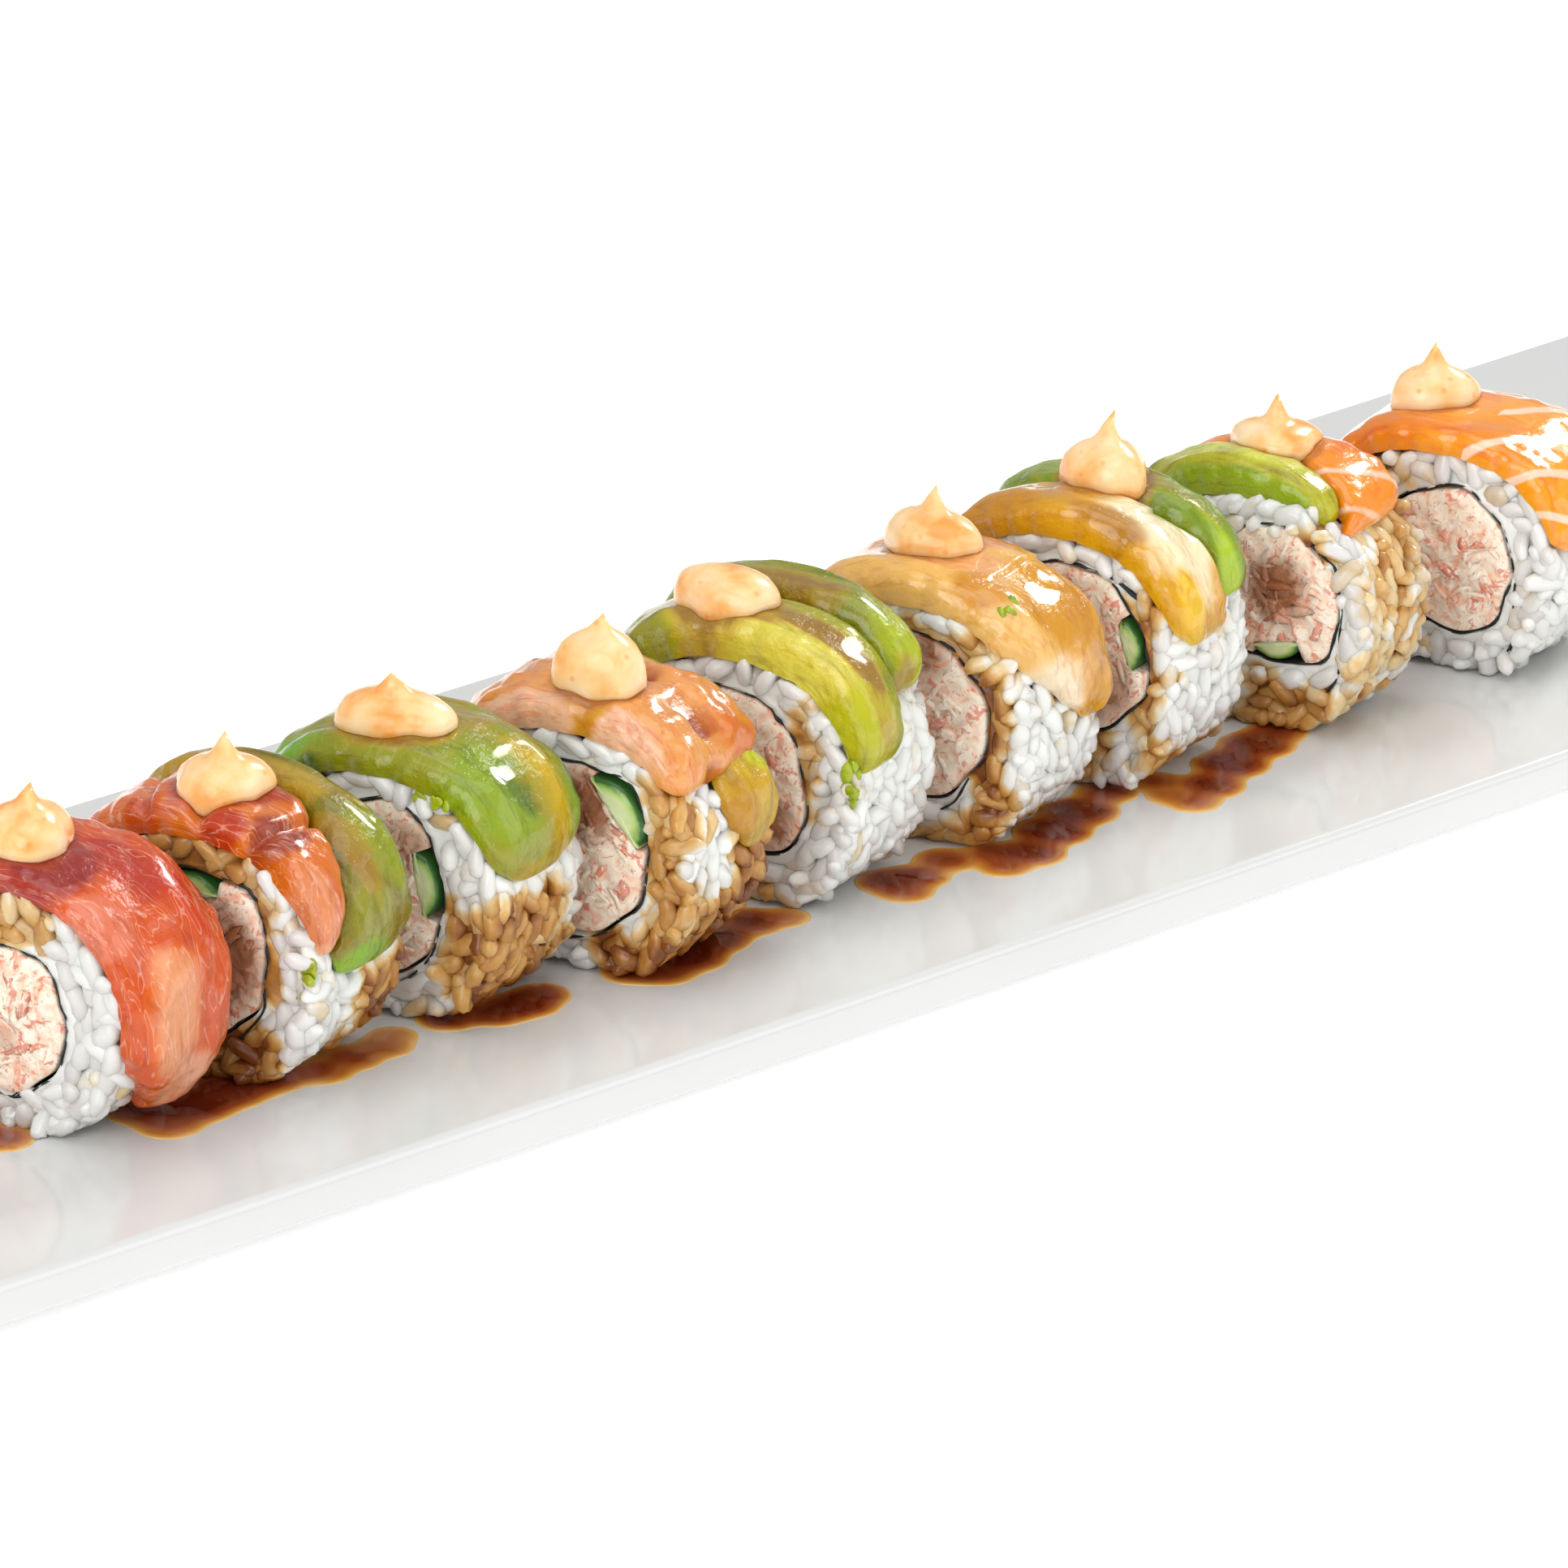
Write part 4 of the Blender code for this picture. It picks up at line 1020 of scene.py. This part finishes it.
AVOCADO_LOOKS = {
    "avocado_2": ("#80760c", ((-30, 18, 30, 5, "#b0922c", 0.8), (10, 16, 16, 4, "#cdb654", 0.45),
                              (50, 18, 22, 6, "#8f9a1c", 0.8), (60, 22, 40, 3, "#5f8f1c", 0.9),
                              (72, 10, 14, 5, "#94961c", 0.7), (88, 8, 10, 7, "#83b52c", 0.9)),
                  ((-10, 16, 40, 5, 0.35), (45, 12, 30, 3, 0.45))),
    "avocado_3": ("#8f9230", ((-55, 2, 40, 3.2, "#76b02b", 0.95), (-60, -0.6, 50, 1.3, "#45621a", 0.9),
                              (-45, 14, 40, 9, "#7d8440", 0.6), (40, 5, 27, 7, "#8aa02a", 1.0),
                              (44, 8, 15, 3.6, "#587434", 0.9), (52, 14, 32, 3.2, "#c9ac4c", 0.9),
                              (62, 20, 40, 3.5, "#76942a", 0.95), (86, 9, 16, 9, "#b3a436", 0.75)),
                  ((-5, 14, 30, 8, 0.4), (60, 12, 30, 3, 0.35), (80, 5, 14, 4, 0.4))),
    "avocado_4": ("#caa538", ((52, 20, 14, 4, "#c8cf5c", 0.95), (76, 10, 14, 6, "#b47a28", 0.6)),
                  ((70, 12, 14, 6, 0.4),)),
    "avocado_5": ("#a3a13c", ((-50, 6, 36, 9, "#8f8d2a", 0.8), (-62, 0, 26, 2, "#4f5f18", 0.8),
                              (12, 1.5, 48, 3.2, "#dcd27c", 0.95), (60, 3, 22, 5, "#b8b84c", 0.8),
                              (66, 9, 30, 3.4, "#8a9626", 0.9), (88, 5, 10, 8, "#9cae30", 0.9)),
                  ((28, 5.5, 30, 3.2, 0.85), (-4, 5, 26, 4, 0.65), (60, 4, 20, 2.5, 0.45))),
    "avocado_rear_5": ("#87912f", ((-20, 17, 40, 6, "#8b8c36", 0.7), (42, 17, 22, 4.5, "#b0be48", 0.85),
                                   (30, 22, 50, 2.6, "#41701a", 0.9), (70, 18, 14, 6, "#86641c", 0.5)),
                       ((0, 15, 24, 4, 0.6), (60, 15, 22, 3, 0.6))),
    "avocado_7": ("#7f9638", ((-20, 19, 50, 5, "#9aa668", 0.7), (60, 16, 30, 2.4, "#b2ca54", 0.9),
                              (30, 22, 70, 2.6, "#557a1c", 0.9)), ((10, 17, 40, 3, 0.3),)),
    "avocado_8": ("#b5b248", ((-10, 6, 40, 3, "#d2d680", 0.9), (0, 1, 60, 1.6, "#8aa632", 0.8),
                              (10, 10.6, 60, 2.2, "#5c7c18", 0.95), (-60, 6, 26, 8, "#5f8020", 0.8)), ()),
}
for topping in TOPPINGS:
    node = topping["node"]
    if node in AVOCADO_LOOKS:
        ground_tone, patches, syrup = AVOCADO_LOOKS[node]
        pointed = node in ("avocado_3", "avocado_4")
        fruit = drape(topping, avocado, f"{node}_slice", avocado_relief, ground_tone, patches, syrup,
                      boxy=0.42 if node == "avocado_5" else 0.55, end_point=0.2 if pointed else 0.5,
                      end_width=20.0 if pointed else 13.0)


# Crumbs of avocado: soft green bits that the knife left on the rice and fish beside the slices.
# Each group is a slice, its middle (mm from the cut face, back, up), its spread and its count.
CRUMBS = ((2, (0.3, -18.6, 17.5), (0.6, 0.8, 1.8), 11), (3, (0.2, -9.5, 33.2), (0.2, 1.4, 0.8), 6),
          (5, (0.6, -19.0, 20.5), (0.8, 0.5, 2.0), 10), (6, (3.4, -14.6, 35.6), (1.2, 0.7, 0.5), 7))
chance = np.random.default_rng(700)
start_afresh()
bpy.ops.mesh.primitive_ico_sphere_add(subdivisions=2, radius=0.5)
crumb = bpy.context.object
crumb_points = np.array([vertex.co for vertex in crumb.data.vertices])
crumb_faces = [list(polygon.vertices) for polygon in crumb.data.polygons]
bpy.data.objects.remove(crumb, do_unlink=True)
points, faces = [], []
for number, middle, spread, count in CRUMBS:
    for _ in range(count):
        place = np.array(middle) + chance.normal(0, 1, 3) * spread
        size = chance.uniform(1.2, 2.8) * np.array([0.45, 1.0, chance.uniform(0.6, 1.6)])
        lumps = squeeze(crumb_points * size + place, 0.12)
        first = len(points) * len(crumb_points)
        points.append(in_place(number, lumps))
        faces += [[vertex + first for vertex in face] for face in crumb_faces]
crumbs = mesh_piece("avocado_crumbs", np.concatenate(points), faces, avocado)
face_outwards(crumbs)
everywhere = len(points) * len(crumb_points)
paint_tone(crumbs, np.tile(colour_of("#a8b656"), everywhere))
paint(crumbs, "glaze", np.full(everywhere, 0.05))
ribbon = crumbs.data.uv_layers.new(name="ribbon")
ribbon.data.foreach_set("uv", (np.concatenate(points)[corner_points(crumbs)][:, [1, 2]] * 100).ravel())
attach(crumbs, "root")


# Tuna: red muscle cut across its layers, translucent and wet, paler pink where it thins. Fine
# white sinews part the layers.
def sinews(tree, tone):
    """Fine pale lines between the layers of muscle."""
    lines = flesh_streaks(tree, 0.5, 1.6, 0.7, 2.4, 1.0, 1.6)
    mask = ramp(tree, lines, ((0.47, "#000000"), (0.5, "#a0a0a0"), (0.53, "#000000")))
    return blend_colours(tree, mask, tone, "#f4c9ac")


tuna = wet_flesh("raw_tuna", (0.8, 2.4, 0.45, 2.4, 4.0, 1.0),
                 ((0.25, "#dcae9c"), (0.5, "#ffffff"), (0.72, "#fff0e6")), 0.9, sinews,
                 (260.0, "#c8502c", "#8c1710"), (240.0, 5.0, 0.7, 1.1), Roughness=0.28, IOR=1.4,
                 Subsurface_Weight=0.12, Subsurface_Scale=0.002, Subsurface_Radius=(1.0, 0.4, 0.25),
                 Coat_Weight=0.6, Coat_Roughness=0.07)


def tuna_relief_1(degrees, across, depth):
    """One layer lies over another along a slanting line, and a second line lower down."""
    waves = 0.5 * unevenness(degrees / 25, depth / 4, 21) + 0.2 * unevenness(degrees / 5, depth / 1.5, 22)
    upper = ledge((depth - 9 + 0.28 * (degrees - 55)), 0.35, 1.0)
    lower = ledge((depth - 17 + 0.2 * (degrees - 80)), 0.35, 0.7)
    return waves + upper + lower - 0.8


def tuna_relief_2(degrees, across, depth):
    """Chunks parted by grooves at the top, then one long tapering lobe down the front."""
    waves = 0.45 * unevenness(degrees / 18, depth / 4, 25) + 0.2 * unevenness(degrees / 5, depth / 1.5, 26)
    cuts = groove(degrees + 16 + depth, 3.0, 1.6) + groove(degrees - 3 + 0.8 * depth, 2.6, 1.6)
    cuts = cuts + groove(degrees - 24 - 0.6 * depth, 3.0, 1.4)
    return waves + cuts + 0.5 * patch(degrees, depth, 55, 4, 35, 5)


fish = drape(topping_of("tuna_1"), tuna, "tuna_slice_1", tuna_relief_1, "#d06c50",
             ((-40, 8, 40, 14, "#cf7454", 0.8), (12, 4, 16, 8, "#981f16", 0.95),
              (28, 13, 22, 5, "#ac2c22", 0.9),
              (48, 18, 26, 5, "#c4452c", 0.9), (42, 2, 20, 5, "#dd9684", 0.85),
              (84, 7, 26, 6, "#e8b090", 0.9),
              (112, 12, 16, 8, "#ecbca4", 0.85), (84, 20, 34, 3, "#cf6a48", 0.8)),
             ((12, 6, 16, 8, 0.75), (30, 12, 14, 5, 0.35)), end_width=26.0, end_point=0.25)
fish = drape(topping_of("tuna_2"), tuna, "tuna_slice_2", tuna_relief_2, "#d28763",
             ((-45, 6, 28, 12, "#dd8258", 0.95), (-18, 1, 8, 5, "#c0502c", 0.8),
              (-6, 5, 8, 6, "#d99484", 0.8),
              (10, 1, 10, 3, "#b8402a", 0.9), (28, 3, 11, 5, "#8f4a44", 0.85),
              (60, 1.5, 22, 3, "#dba084", 0.85),
              (84, 1, 12, 4, "#e8bea4", 0.8), (-2, 12, 26, 5, "#98281e", 0.8)),
             ((0, 8, 18, 6, 0.7), (-40, 3, 16, 4, 0.2)), end_width=26.0, end_point=0.1)


# Shrimp: cooked tails split and opened flat, peach flesh with orange-red bands and a dark seam
# between the halves.
def red_bands(tree, tone):
    """The orange-red bands of cooked shrimp."""
    bands = flesh_streaks(tree, 0.8, 2.6, 0.3, 2.6, 3.0, 1.2)
    mask = ramp(tree, bands, ((0.54, "#000000"), (0.66, "#a8a8a8")))
    return blend_colours(tree, mask, tone, "#d2642c")


shrimp = wet_flesh("cooked_shrimp", (1.0, 2.6, 0.3, 2.6, 4.0, 1.4),
                   ((0.25, "#e0b08c"), (0.5, "#ffffff"), (0.72, "#fff4e6")), 0.8, red_bands,
                   (240.0, "#d98f3c", "#96501a"), (240.0, 5.0, 0.7, 1.1), Roughness=0.26, IOR=1.42,
                   Subsurface_Weight=0.2, Subsurface_Scale=0.002, Subsurface_Radius=(1.0, 0.5, 0.3),
                   Coat_Weight=0.7, Coat_Roughness=0.06)


def shrimp_seam(degrees, depth):
    """How far a place lies from the seam between the two halves, in mm."""
    return depth - (14.5 - 0.11 * degrees)


def shrimp_relief(degrees, across, depth):
    """Two plump halves with cross ridges."""
    waves = 0.45 * unevenness(degrees / 20, depth / 4, 31) + 0.3 * unevenness(degrees / 6, depth / 1.6, 32)
    halves = groove(shrimp_seam(degrees, depth), 1.4, 2.3) * (degrees > -20)
    ridges = 0.22 * np.sin(degrees * 0.4 + depth)
    return waves + halves + ridges * np.where(degrees > 0, 0.4, 1.0) + 0.4


seam_patches = tuple((at, 14.5 - 0.11 * at, 8, 1.1, "#96301a", 0.95) for at in range(4, 74, 10))
seafood = drape(topping_of("shrimp_4"), shrimp, "shrimp_tails_4", shrimp_relief, "#e6b084",
                ((-45, 6, 35, 12, "#e3a062", 0.8), (0, 0.5, 50, 2.2, "#ecc9b2", 0.85),
                 (6, 2, 8, 3, "#c9963a", 0.8),
                 (35, 7, 30, 4, "#e2ac80", 0.8), (50, 18, 26, 5, "#cc7c50", 0.85),
                 (66, 12, 14, 9, "#b86840", 0.8),
                 (20, 20, 26, 4, "#d8986c", 0.8)) + seam_patches,
                ((20, 6, 26, 4, 0.3), (-40, 10, 24, 8, 0.4), (60, 8, 16, 5, 0.4)), end_point=0.6)


# White fish: pale, nearly clear flesh in thin flakes, amber where the glaze covers it.
whitefish = wet_flesh("raw_white_fish", (0.9, 2.0, -0.3, 2.0, 3.0, 1.6),
                      ((0.25, "#e6c48e"), (0.5, "#ffffff"), (0.72, "#fffbf2")), 0.8, None,
                      (200.0, "#dba13c", "#9a5a14"), (260.0, 5.0, 0.7, 1.3), Roughness=0.22, IOR=1.4,
                      Subsurface_Weight=0.3, Subsurface_Scale=0.0022, Subsurface_Radius=(1.0, 0.7, 0.4),
                      Coat_Weight=0.8, Coat_Roughness=0.05)


def flake_relief(degrees, across, depth):
    """Overlapping flakes that step across the slice."""
    waves = unevenness(degrees / 24, depth / 4, 41)
    edges = ledge(depth - 7 - 3 * waves, 0.3, -0.6) * (degrees > 20)
    return 0.55 * waves + 0.25 * unevenness(degrees / 6, depth / 1.5, 42) + edges + 0.2


fish = drape(topping_of("whitefish_6"), whitefish, "white_fish_6", flake_relief, "#ebc590",
             ((-50, 10, 34, 14, "#f4b99c", 0.95), (-10, 18, 30, 6, "#efae94", 0.8),
              (-5, 3, 30, 4, "#eec48a", 0.8), (4, 9, 20, 5, "#efb596", 0.7),
              (42, 14, 26, 9, "#cf9850", 0.85), (20, 4, 12, 4, "#b8742a", 0.5),
              (76, 6, 20, 9, "#f3e3cb", 1.0),
              (78, 16, 20, 5, "#cf9748", 0.7), (-60, 1, 30, 2, "#f2c9a4", 0.7)),
             ((20, 11, 26, 5, 0.3), (0, 4, 16, 3, 0.2), (55, 18, 26, 4, 0.5)))
fish = drape(topping_of("whitefish_7"), whitefish, "white_fish_7", flake_relief, "#d8a850",
             ((-25, 4, 36, 5, "#c08527", 0.8), (-10, 8, 26, 4, "#dba550", 0.7),
              (36, 7, 34, 7, "#f8ebcc", 1.0),
              (62, 3, 18, 3, "#e8c25c", 0.9), (84, 4, 14, 6, "#dfbc4e", 0.9),
              (20, 2, 14, 2.4, "#9b6516", 0.7)),
             ((-20, 6, 32, 5, 0.4), (10, 2, 12, 2.4, 0.5), (62, 11, 16, 2, 0.3)))


# Salmon: orange flesh with thin white lines of fat that run slanting across the slice.
def fat_lines(tree, tone):
    """Slanting white lines, as strong as the piece is painted for."""
    ribbon = add_node(tree, "ShaderNodeUVMap", {"uv_map": "ribbon"})
    turned = add_node(tree, "ShaderNodeMapping", links={"Vector": ribbon.outputs["UV"]}, Rotation=(0, 0, 0.5))
    lines = add_node(tree, "ShaderNodeTexWave", {"wave_type": "BANDS", "bands_direction": "X"},
                     {"Vector": turned.outputs["Vector"]}, Scale=0.42, Distortion=2.2, Detail=2.0)
    here = add_node(tree, "ShaderNodeMath", {"operation": "MULTIPLY"},
                    {0: lines.outputs["Fac"], 1: painted(tree, "fat")})
    mask = ramp(tree, here.outputs[0], ((0.86, "#000000"), (0.96, "#d8d8d8")))
    return blend_colours(tree, mask, tone, "#fbe3d2")


salmon = wet_flesh("raw_salmon", (0.8, 1.8, 0.5, 1.8, 3.0, 1.2),
                   ((0.25, "#eab48c"), (0.5, "#ffffff"), (0.72, "#fff4e8")), 0.8, fat_lines,
                   (200.0, "#ee9a3c", "#b5661f"), (220.0, 4.0, 0.6, 1.0), Roughness=0.22, IOR=1.4,
                   Subsurface_Weight=0.3, Subsurface_Scale=0.0022, Subsurface_Radius=(1.0, 0.45, 0.25),
                   Coat_Weight=0.8, Coat_Roughness=0.05)


def salmon_relief(degrees, across, depth):
    """Low waves along the slice."""
    return 0.5 * unevenness(degrees / 24, depth / 4, 51) + 0.2 * unevenness(degrees / 6, depth / 1.5, 52)


SALMON_LOOKS = {
    "salmon_8": ("#f0a468", ((0, 18, 40, 5, "#f3ab7c", 0.8), (40, 3, 26, 4, "#ea8b45", 0.8),
                             (62, 12, 22, 8, "#ef9d55", 0.8), (85, 8, 12, 9, "#f3bd92", 0.8)),
                 ((50, 8, 24, 5, 0.35),), 0.95),
    "salmon_9": ("#f6b67c", ((-30, 2.5, 46, 4, "#ec8524", 0.95), (-25, 14, 40, 9, "#f6bb97", 0.9),
                             (55, 6, 34, 9, "#f8b674", 0.8), (20, 5, 20, 5, "#ee9038", 0.7),
                             (80, 12, 18, 12, "#f7c8a2", 0.6)), ((-30, 4, 26, 4, 0.3),), 1.0),
}
for node, (ground_tone, patches, syrup, fat) in SALMON_LOOKS.items():
    fish = drape(topping_of(node), salmon, f"{node}_slice", salmon_relief, ground_tone, patches, syrup)
    run_degrees = np.repeat(np.linspace(*RUNS[node], COLUMNS_ALONG), POINTS_AROUND)
    paint(fish, "fat", np.where(run_degrees > 8, fat, 0.5))


# The dollops: spicy mayonnaise squeezed from a bottle, so each is a smooth drop that spreads on
# the topping and is drawn up to a soft peak, with specks of orange roe and chilli in it.
mayonnaise, tree, shader = new_finish("spicy_mayonnaise", Roughness=0.27, IOR=1.45, Subsurface_Weight=0.4,
                                      Subsurface_Scale=0.0025, Subsurface_Radius=(1.0, 0.6, 0.3),
                                      Coat_Weight=0.35, Coat_Roughness=0.12)
place = place_of(tree)
cloud = noise_on(tree, place, 160.0, 3.0)
tone = ramp(tree, cloud, ((0.32, "#fedcae"), (0.52, "#fac684"), (0.68, "#f0a048")))
specks = add_node(tree, "ShaderNodeTexVoronoi", links={"Vector": place}, Scale=330.0)
speck_mask = ramp(tree, specks.outputs["Distance"], ((0.05, "#c8c8c8"), (0.2, "#000000")))
tone = blend_colours(tree, speck_mask, tone, "#e8952f")
tree.links.new(tone, shader.inputs["Base Color"])
add_bump(tree, shader, cloud, 0.2, 0.5)

# A dollop's outline from its flat underside to its tip: parts of its radius and of its dome
DOLLOP_PROFILE = ((0.0, -0.6), (0.7, -0.6), (0.93, -0.35), (1.0, 0.06), (1.0, 0.2), (0.975, 0.36),
                  (0.91, 0.53), (0.8, 0.7), (0.66, 0.83), (0.5, 0.93), (0.36, 1.0), (0.24, 1.08),
                  (0.14, 1.19))
DOLLOP_COLUMNS = 40
DOLLOP_SAG = 1.6
SKIRT = 0.55

for number, depth_at, back_at, radius_x, radius_y, dome, peak, lean in DOLLOPS:
    trees = []
    for surface in surfaces[number]:
        trees.append(BVHTree.FromPolygons([vertex.co for vertex in surface.data.vertices],
                                          [polygon.vertices for polygon in surface.data.polygons]))

    def ground(depth, back):
        """Height of the toppings under a place of the slice, above the slice's base, in mm."""
        spot = Vector(in_place(number, (depth, back, 0.0))[0])
        best = 0.0
        for tree_under in trees:
            hit = tree_under.ray_cast(Vector((spot.x, spot.y, 1.0)), Vector((0, 0, -1)))
            if hit[0] is not None:
                best = max(best, (hit[0].z - BASES[number]) / MM)
        return best

    top_ground = ground(depth_at, back_at)
    points = []
    for part, rise in DOLLOP_PROFILE:
        for column in range(DOLLOP_COLUMNS):
            turn = math.tau * column / DOLLOP_COLUMNS
            lobes = 1 + 0.07 * math.sin(2 * turn + number) + 0.05 * math.sin(3 * turn + 2 * number)
            lobes += 0.025 * math.sin(7 * turn + number) * (rise < 0.6)
            x = depth_at + radius_x * part * lobes * math.cos(turn)
            y = back_at + radius_y * part * lobes * math.sin(turn)
            under = max(ground(x, y) if rise < SKIRT else top_ground, top_ground - DOLLOP_SAG)
            level = under + (top_ground - under) * min(max(rise, 0.0) / SKIRT, 1.0)
            height = min(max(rise, 0.0), 1.0) * dome + (rise if rise < 0 else 0.0)
            height += max(rise - 1.0, 0.0) / 0.19 * max(peak - dome, 0.1) * 0.55
            drift = lean * max(rise - 0.8, 0.0)
            points.append((x + drift, y, level + height))
    points.append((depth_at + lean * 1.1, back_at, top_ground + peak))
    faces = ring_faces(len(DOLLOP_PROFILE), DOLLOP_COLUMNS) + [list(range(DOLLOP_COLUMNS))]
    tip = len(points) - 1
    last = tip - DOLLOP_COLUMNS
    faces += [[tip, last + column, last + (column + 1) % DOLLOP_COLUMNS] for column in range(DOLLOP_COLUMNS)]
    dollop = mesh_piece(f"mayonnaise_dollop_{number}", in_place(number, points), faces, mayonnaise)
    face_outwards(dollop)
    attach(dollop, "root")
    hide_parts(f"mayonnaise_{number}")


# The sauce: sweet soy glaze that ran down the slices and lies in thin puddles on the plate, dark
# red-brown in the middle and clear amber at the rim.
PUDDLES = (
    ((-176, -20, 5), (-173, -26, 4)),
    ((-152, -31, 5), (-153, -37, 4), (-147, -34, 5.5), (-140, -33, 5.5), (-133, -33, 5), (-126, -36, 4),
     (-120, -35, 4),
     (-114, -35, 3.5), (-111, -33, 3)),
    ((-101, -33, 4), (-95, -36, 4), (-90, -36, 4.5), (-86, -35, 3.5)),
    ((-71, -37, 4), (-68, -40, 4), (-62, -38, 5), (-55, -35, 5), (-47, -34, 4.5), (-42, -36, 3)),
    ((-22, -36, 4.5), (-23, -40, 3.5), (-18, -37, 4), (-11, -35, 4), (-4, -38, 4), (-6, -42, 3.5),
     (0, -41, 4.5),
     (8, -37, 5), (16, -34, 5), (24, -31, 4)),
    ((32, -33, 3.5), (30, -38, 3), (31, -42, 3.5), (37, -39, 4.5), (45, -35, 5), (53, -32, 5), (59, -30, 4)),
)

ENLARGED = 100  # metaballs have a coarse smallest step, so they are made this many times larger
POOL_STEP = 0.07
POOL_SPREAD = 1.75
FILM = 0.32
FILM_SINKS = 0.3

soy_glaze, tree, shader = new_finish("sweet_soy_glaze", Roughness=0.07, IOR=1.42, Coat_Weight=0.5,
                                     Coat_Roughness=0.03)
deep = noise_plus(tree, noise_on(tree, place_of(tree), 90.0, 2.0, 0.6), 0.09, painted(tree, "deep"))
tone = ramp(tree, deep, ((0.06, "#e6b866"), (0.15, "#cc8636"), (0.31, "#9c4720"), (0.55, "#6a2010")))
tree.links.new(tone, shader.inputs["Base Color"])

for index, blobs in enumerate(PUDDLES, start=1):
    start_afresh()
    bpy.ops.object.metaball_add(type="BALL", radius=0.001, location=(0, 0, 0))
    pool = bpy.context.object
    pool.data.resolution = POOL_STEP
    pool.data.render_resolution = POOL_STEP
    pool.data.threshold = 0.3
    pool.data.elements.remove(pool.data.elements[0])
    for x, y, radius in blobs:
        ball = pool.data.elements.new(type="BALL")
        ball.co = (x * MM * ENLARGED, y * MM * ENLARGED, 0.0)
        ball.radius = radius * POOL_SPREAD * MM * ENLARGED
        ball.stiffness = 2.0
    bpy.ops.object.convert(target="MESH")
    pool = bpy.context.object
    pool.name = f"sauce_puddle_{index}"
    for vertex in pool.data.vertices:
        vertex.co /= ENLARGED
    heights = np.array([vertex.co.z for vertex in pool.data.vertices])
    tallest = heights.max()
    depths = 1 - np.sqrt(1 - (heights / tallest).clip(0, 1) ** 2)
    for vertex, deep in zip(pool.data.vertices, depths):
        level = (PLATE_TOP + plate_rise(vertex.co.x / MM)) * MM
        vertex.co.z = level + (FILM * deep ** 0.3 if vertex.co.z > 0 else -FILM_SINKS) * MM
    pool.data.materials.clear()
    pool.data.materials.append(soy_glaze)
    pool.data.shade_smooth()
    paint(pool, "deep", depths)
    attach(pool, "root")


# The studio: a pale floor, a soft light from the right that shines on the wet tops, three wide
# and weaker ones from the front, the top and the left, and a bright even surround.
CAMERA_AIM = Vector((-0.040, -0.0333, 0.0265))
CAMERA_AZIMUTH = math.radians(-41.0)
CAMERA_ELEVATION = math.radians(22.0)
CAMERA_DISTANCE = 1.5
PHOTO_PIXELS = 1932
FOCAL_PIXELS = 13140

start_afresh()
bpy.ops.mesh.primitive_plane_add(size=6.0, location=(0, 0, 0))
floor = bpy.context.object
floor.name = "studio_floor"
paper, tree, shader = new_finish("white_paper_floor", Roughness=0.9, Emission_Color=(1.0, 1.0, 1.0, 1.0),
                                 Emission_Strength=0.35)
tone = ramp(tree, noise_on(tree, place_of(tree), 30.0, 2.0), ((0.3, "#fafafa"), (0.7, "#fdfdfd")))
tree.links.new(tone, shader.inputs["Base Color"])
floor.data.materials.append(paper)

backwards = Vector((math.sin(CAMERA_AZIMUTH) * math.cos(CAMERA_ELEVATION),
                    -math.cos(CAMERA_AZIMUTH) * math.cos(CAMERA_ELEVATION), math.sin(CAMERA_ELEVATION)))
lens = bpy.data.cameras.new("photo_camera")
camera = bpy.data.objects.new("photo_camera", lens)
bpy.context.scene.collection.objects.link(camera)
camera.location = CAMERA_AIM + backwards * CAMERA_DISTANCE
camera.rotation_euler = (-backwards).to_track_quat("-Z", "Y").to_euler()
lens.sensor_width = 36.0
lens.lens = 36.0 * FOCAL_PIXELS / PHOTO_PIXELS
lens.clip_end = 20.0
lens.dof.use_dof = False
bpy.context.scene.camera = camera
bpy.context.scene.view_settings.view_transform = "Standard"


def soft_light(name, direction, distance, size, watts):
    """A round soft white light, aimed at the row."""
    lamp = bpy.data.lights.new(name, "AREA")
    lamp.shape = "DISK"
    lamp.size = size
    lamp.energy = watts
    light = bpy.data.objects.new(name, lamp)
    bpy.context.scene.collection.objects.link(light)
    aim = Vector(direction).normalized()
    light.location = CAMERA_AIM + aim * distance
    light.rotation_euler = aim.to_track_quat("Z", "Y").to_euler()


# Each light: its direction from the row, its distance and width in metres, and its watts
soft_light("right_softbox", (0.785, 0.154, 0.60), 2.2, 0.6, 17.0)
soft_light("front_softbox", (0.45, -0.80, 0.55), 2.0, 1.5, 8.5)
soft_light("top_softbox", (-0.1, -0.1, 1.0), 2.0, 1.8, 13.5)
soft_light("left_fill", (-0.85, -0.30, 0.45), 2.0, 1.5, 17.0)
surround = bpy.data.worlds.new("white_surround")
surround.use_nodes = True
glow = surround.node_tree.nodes["Background"]
glow.inputs["Color"].default_value = (1.0, 1.0, 1.0, 1.0)
glow.inputs["Strength"].default_value = 0.5
bpy.context.scene.world = surround
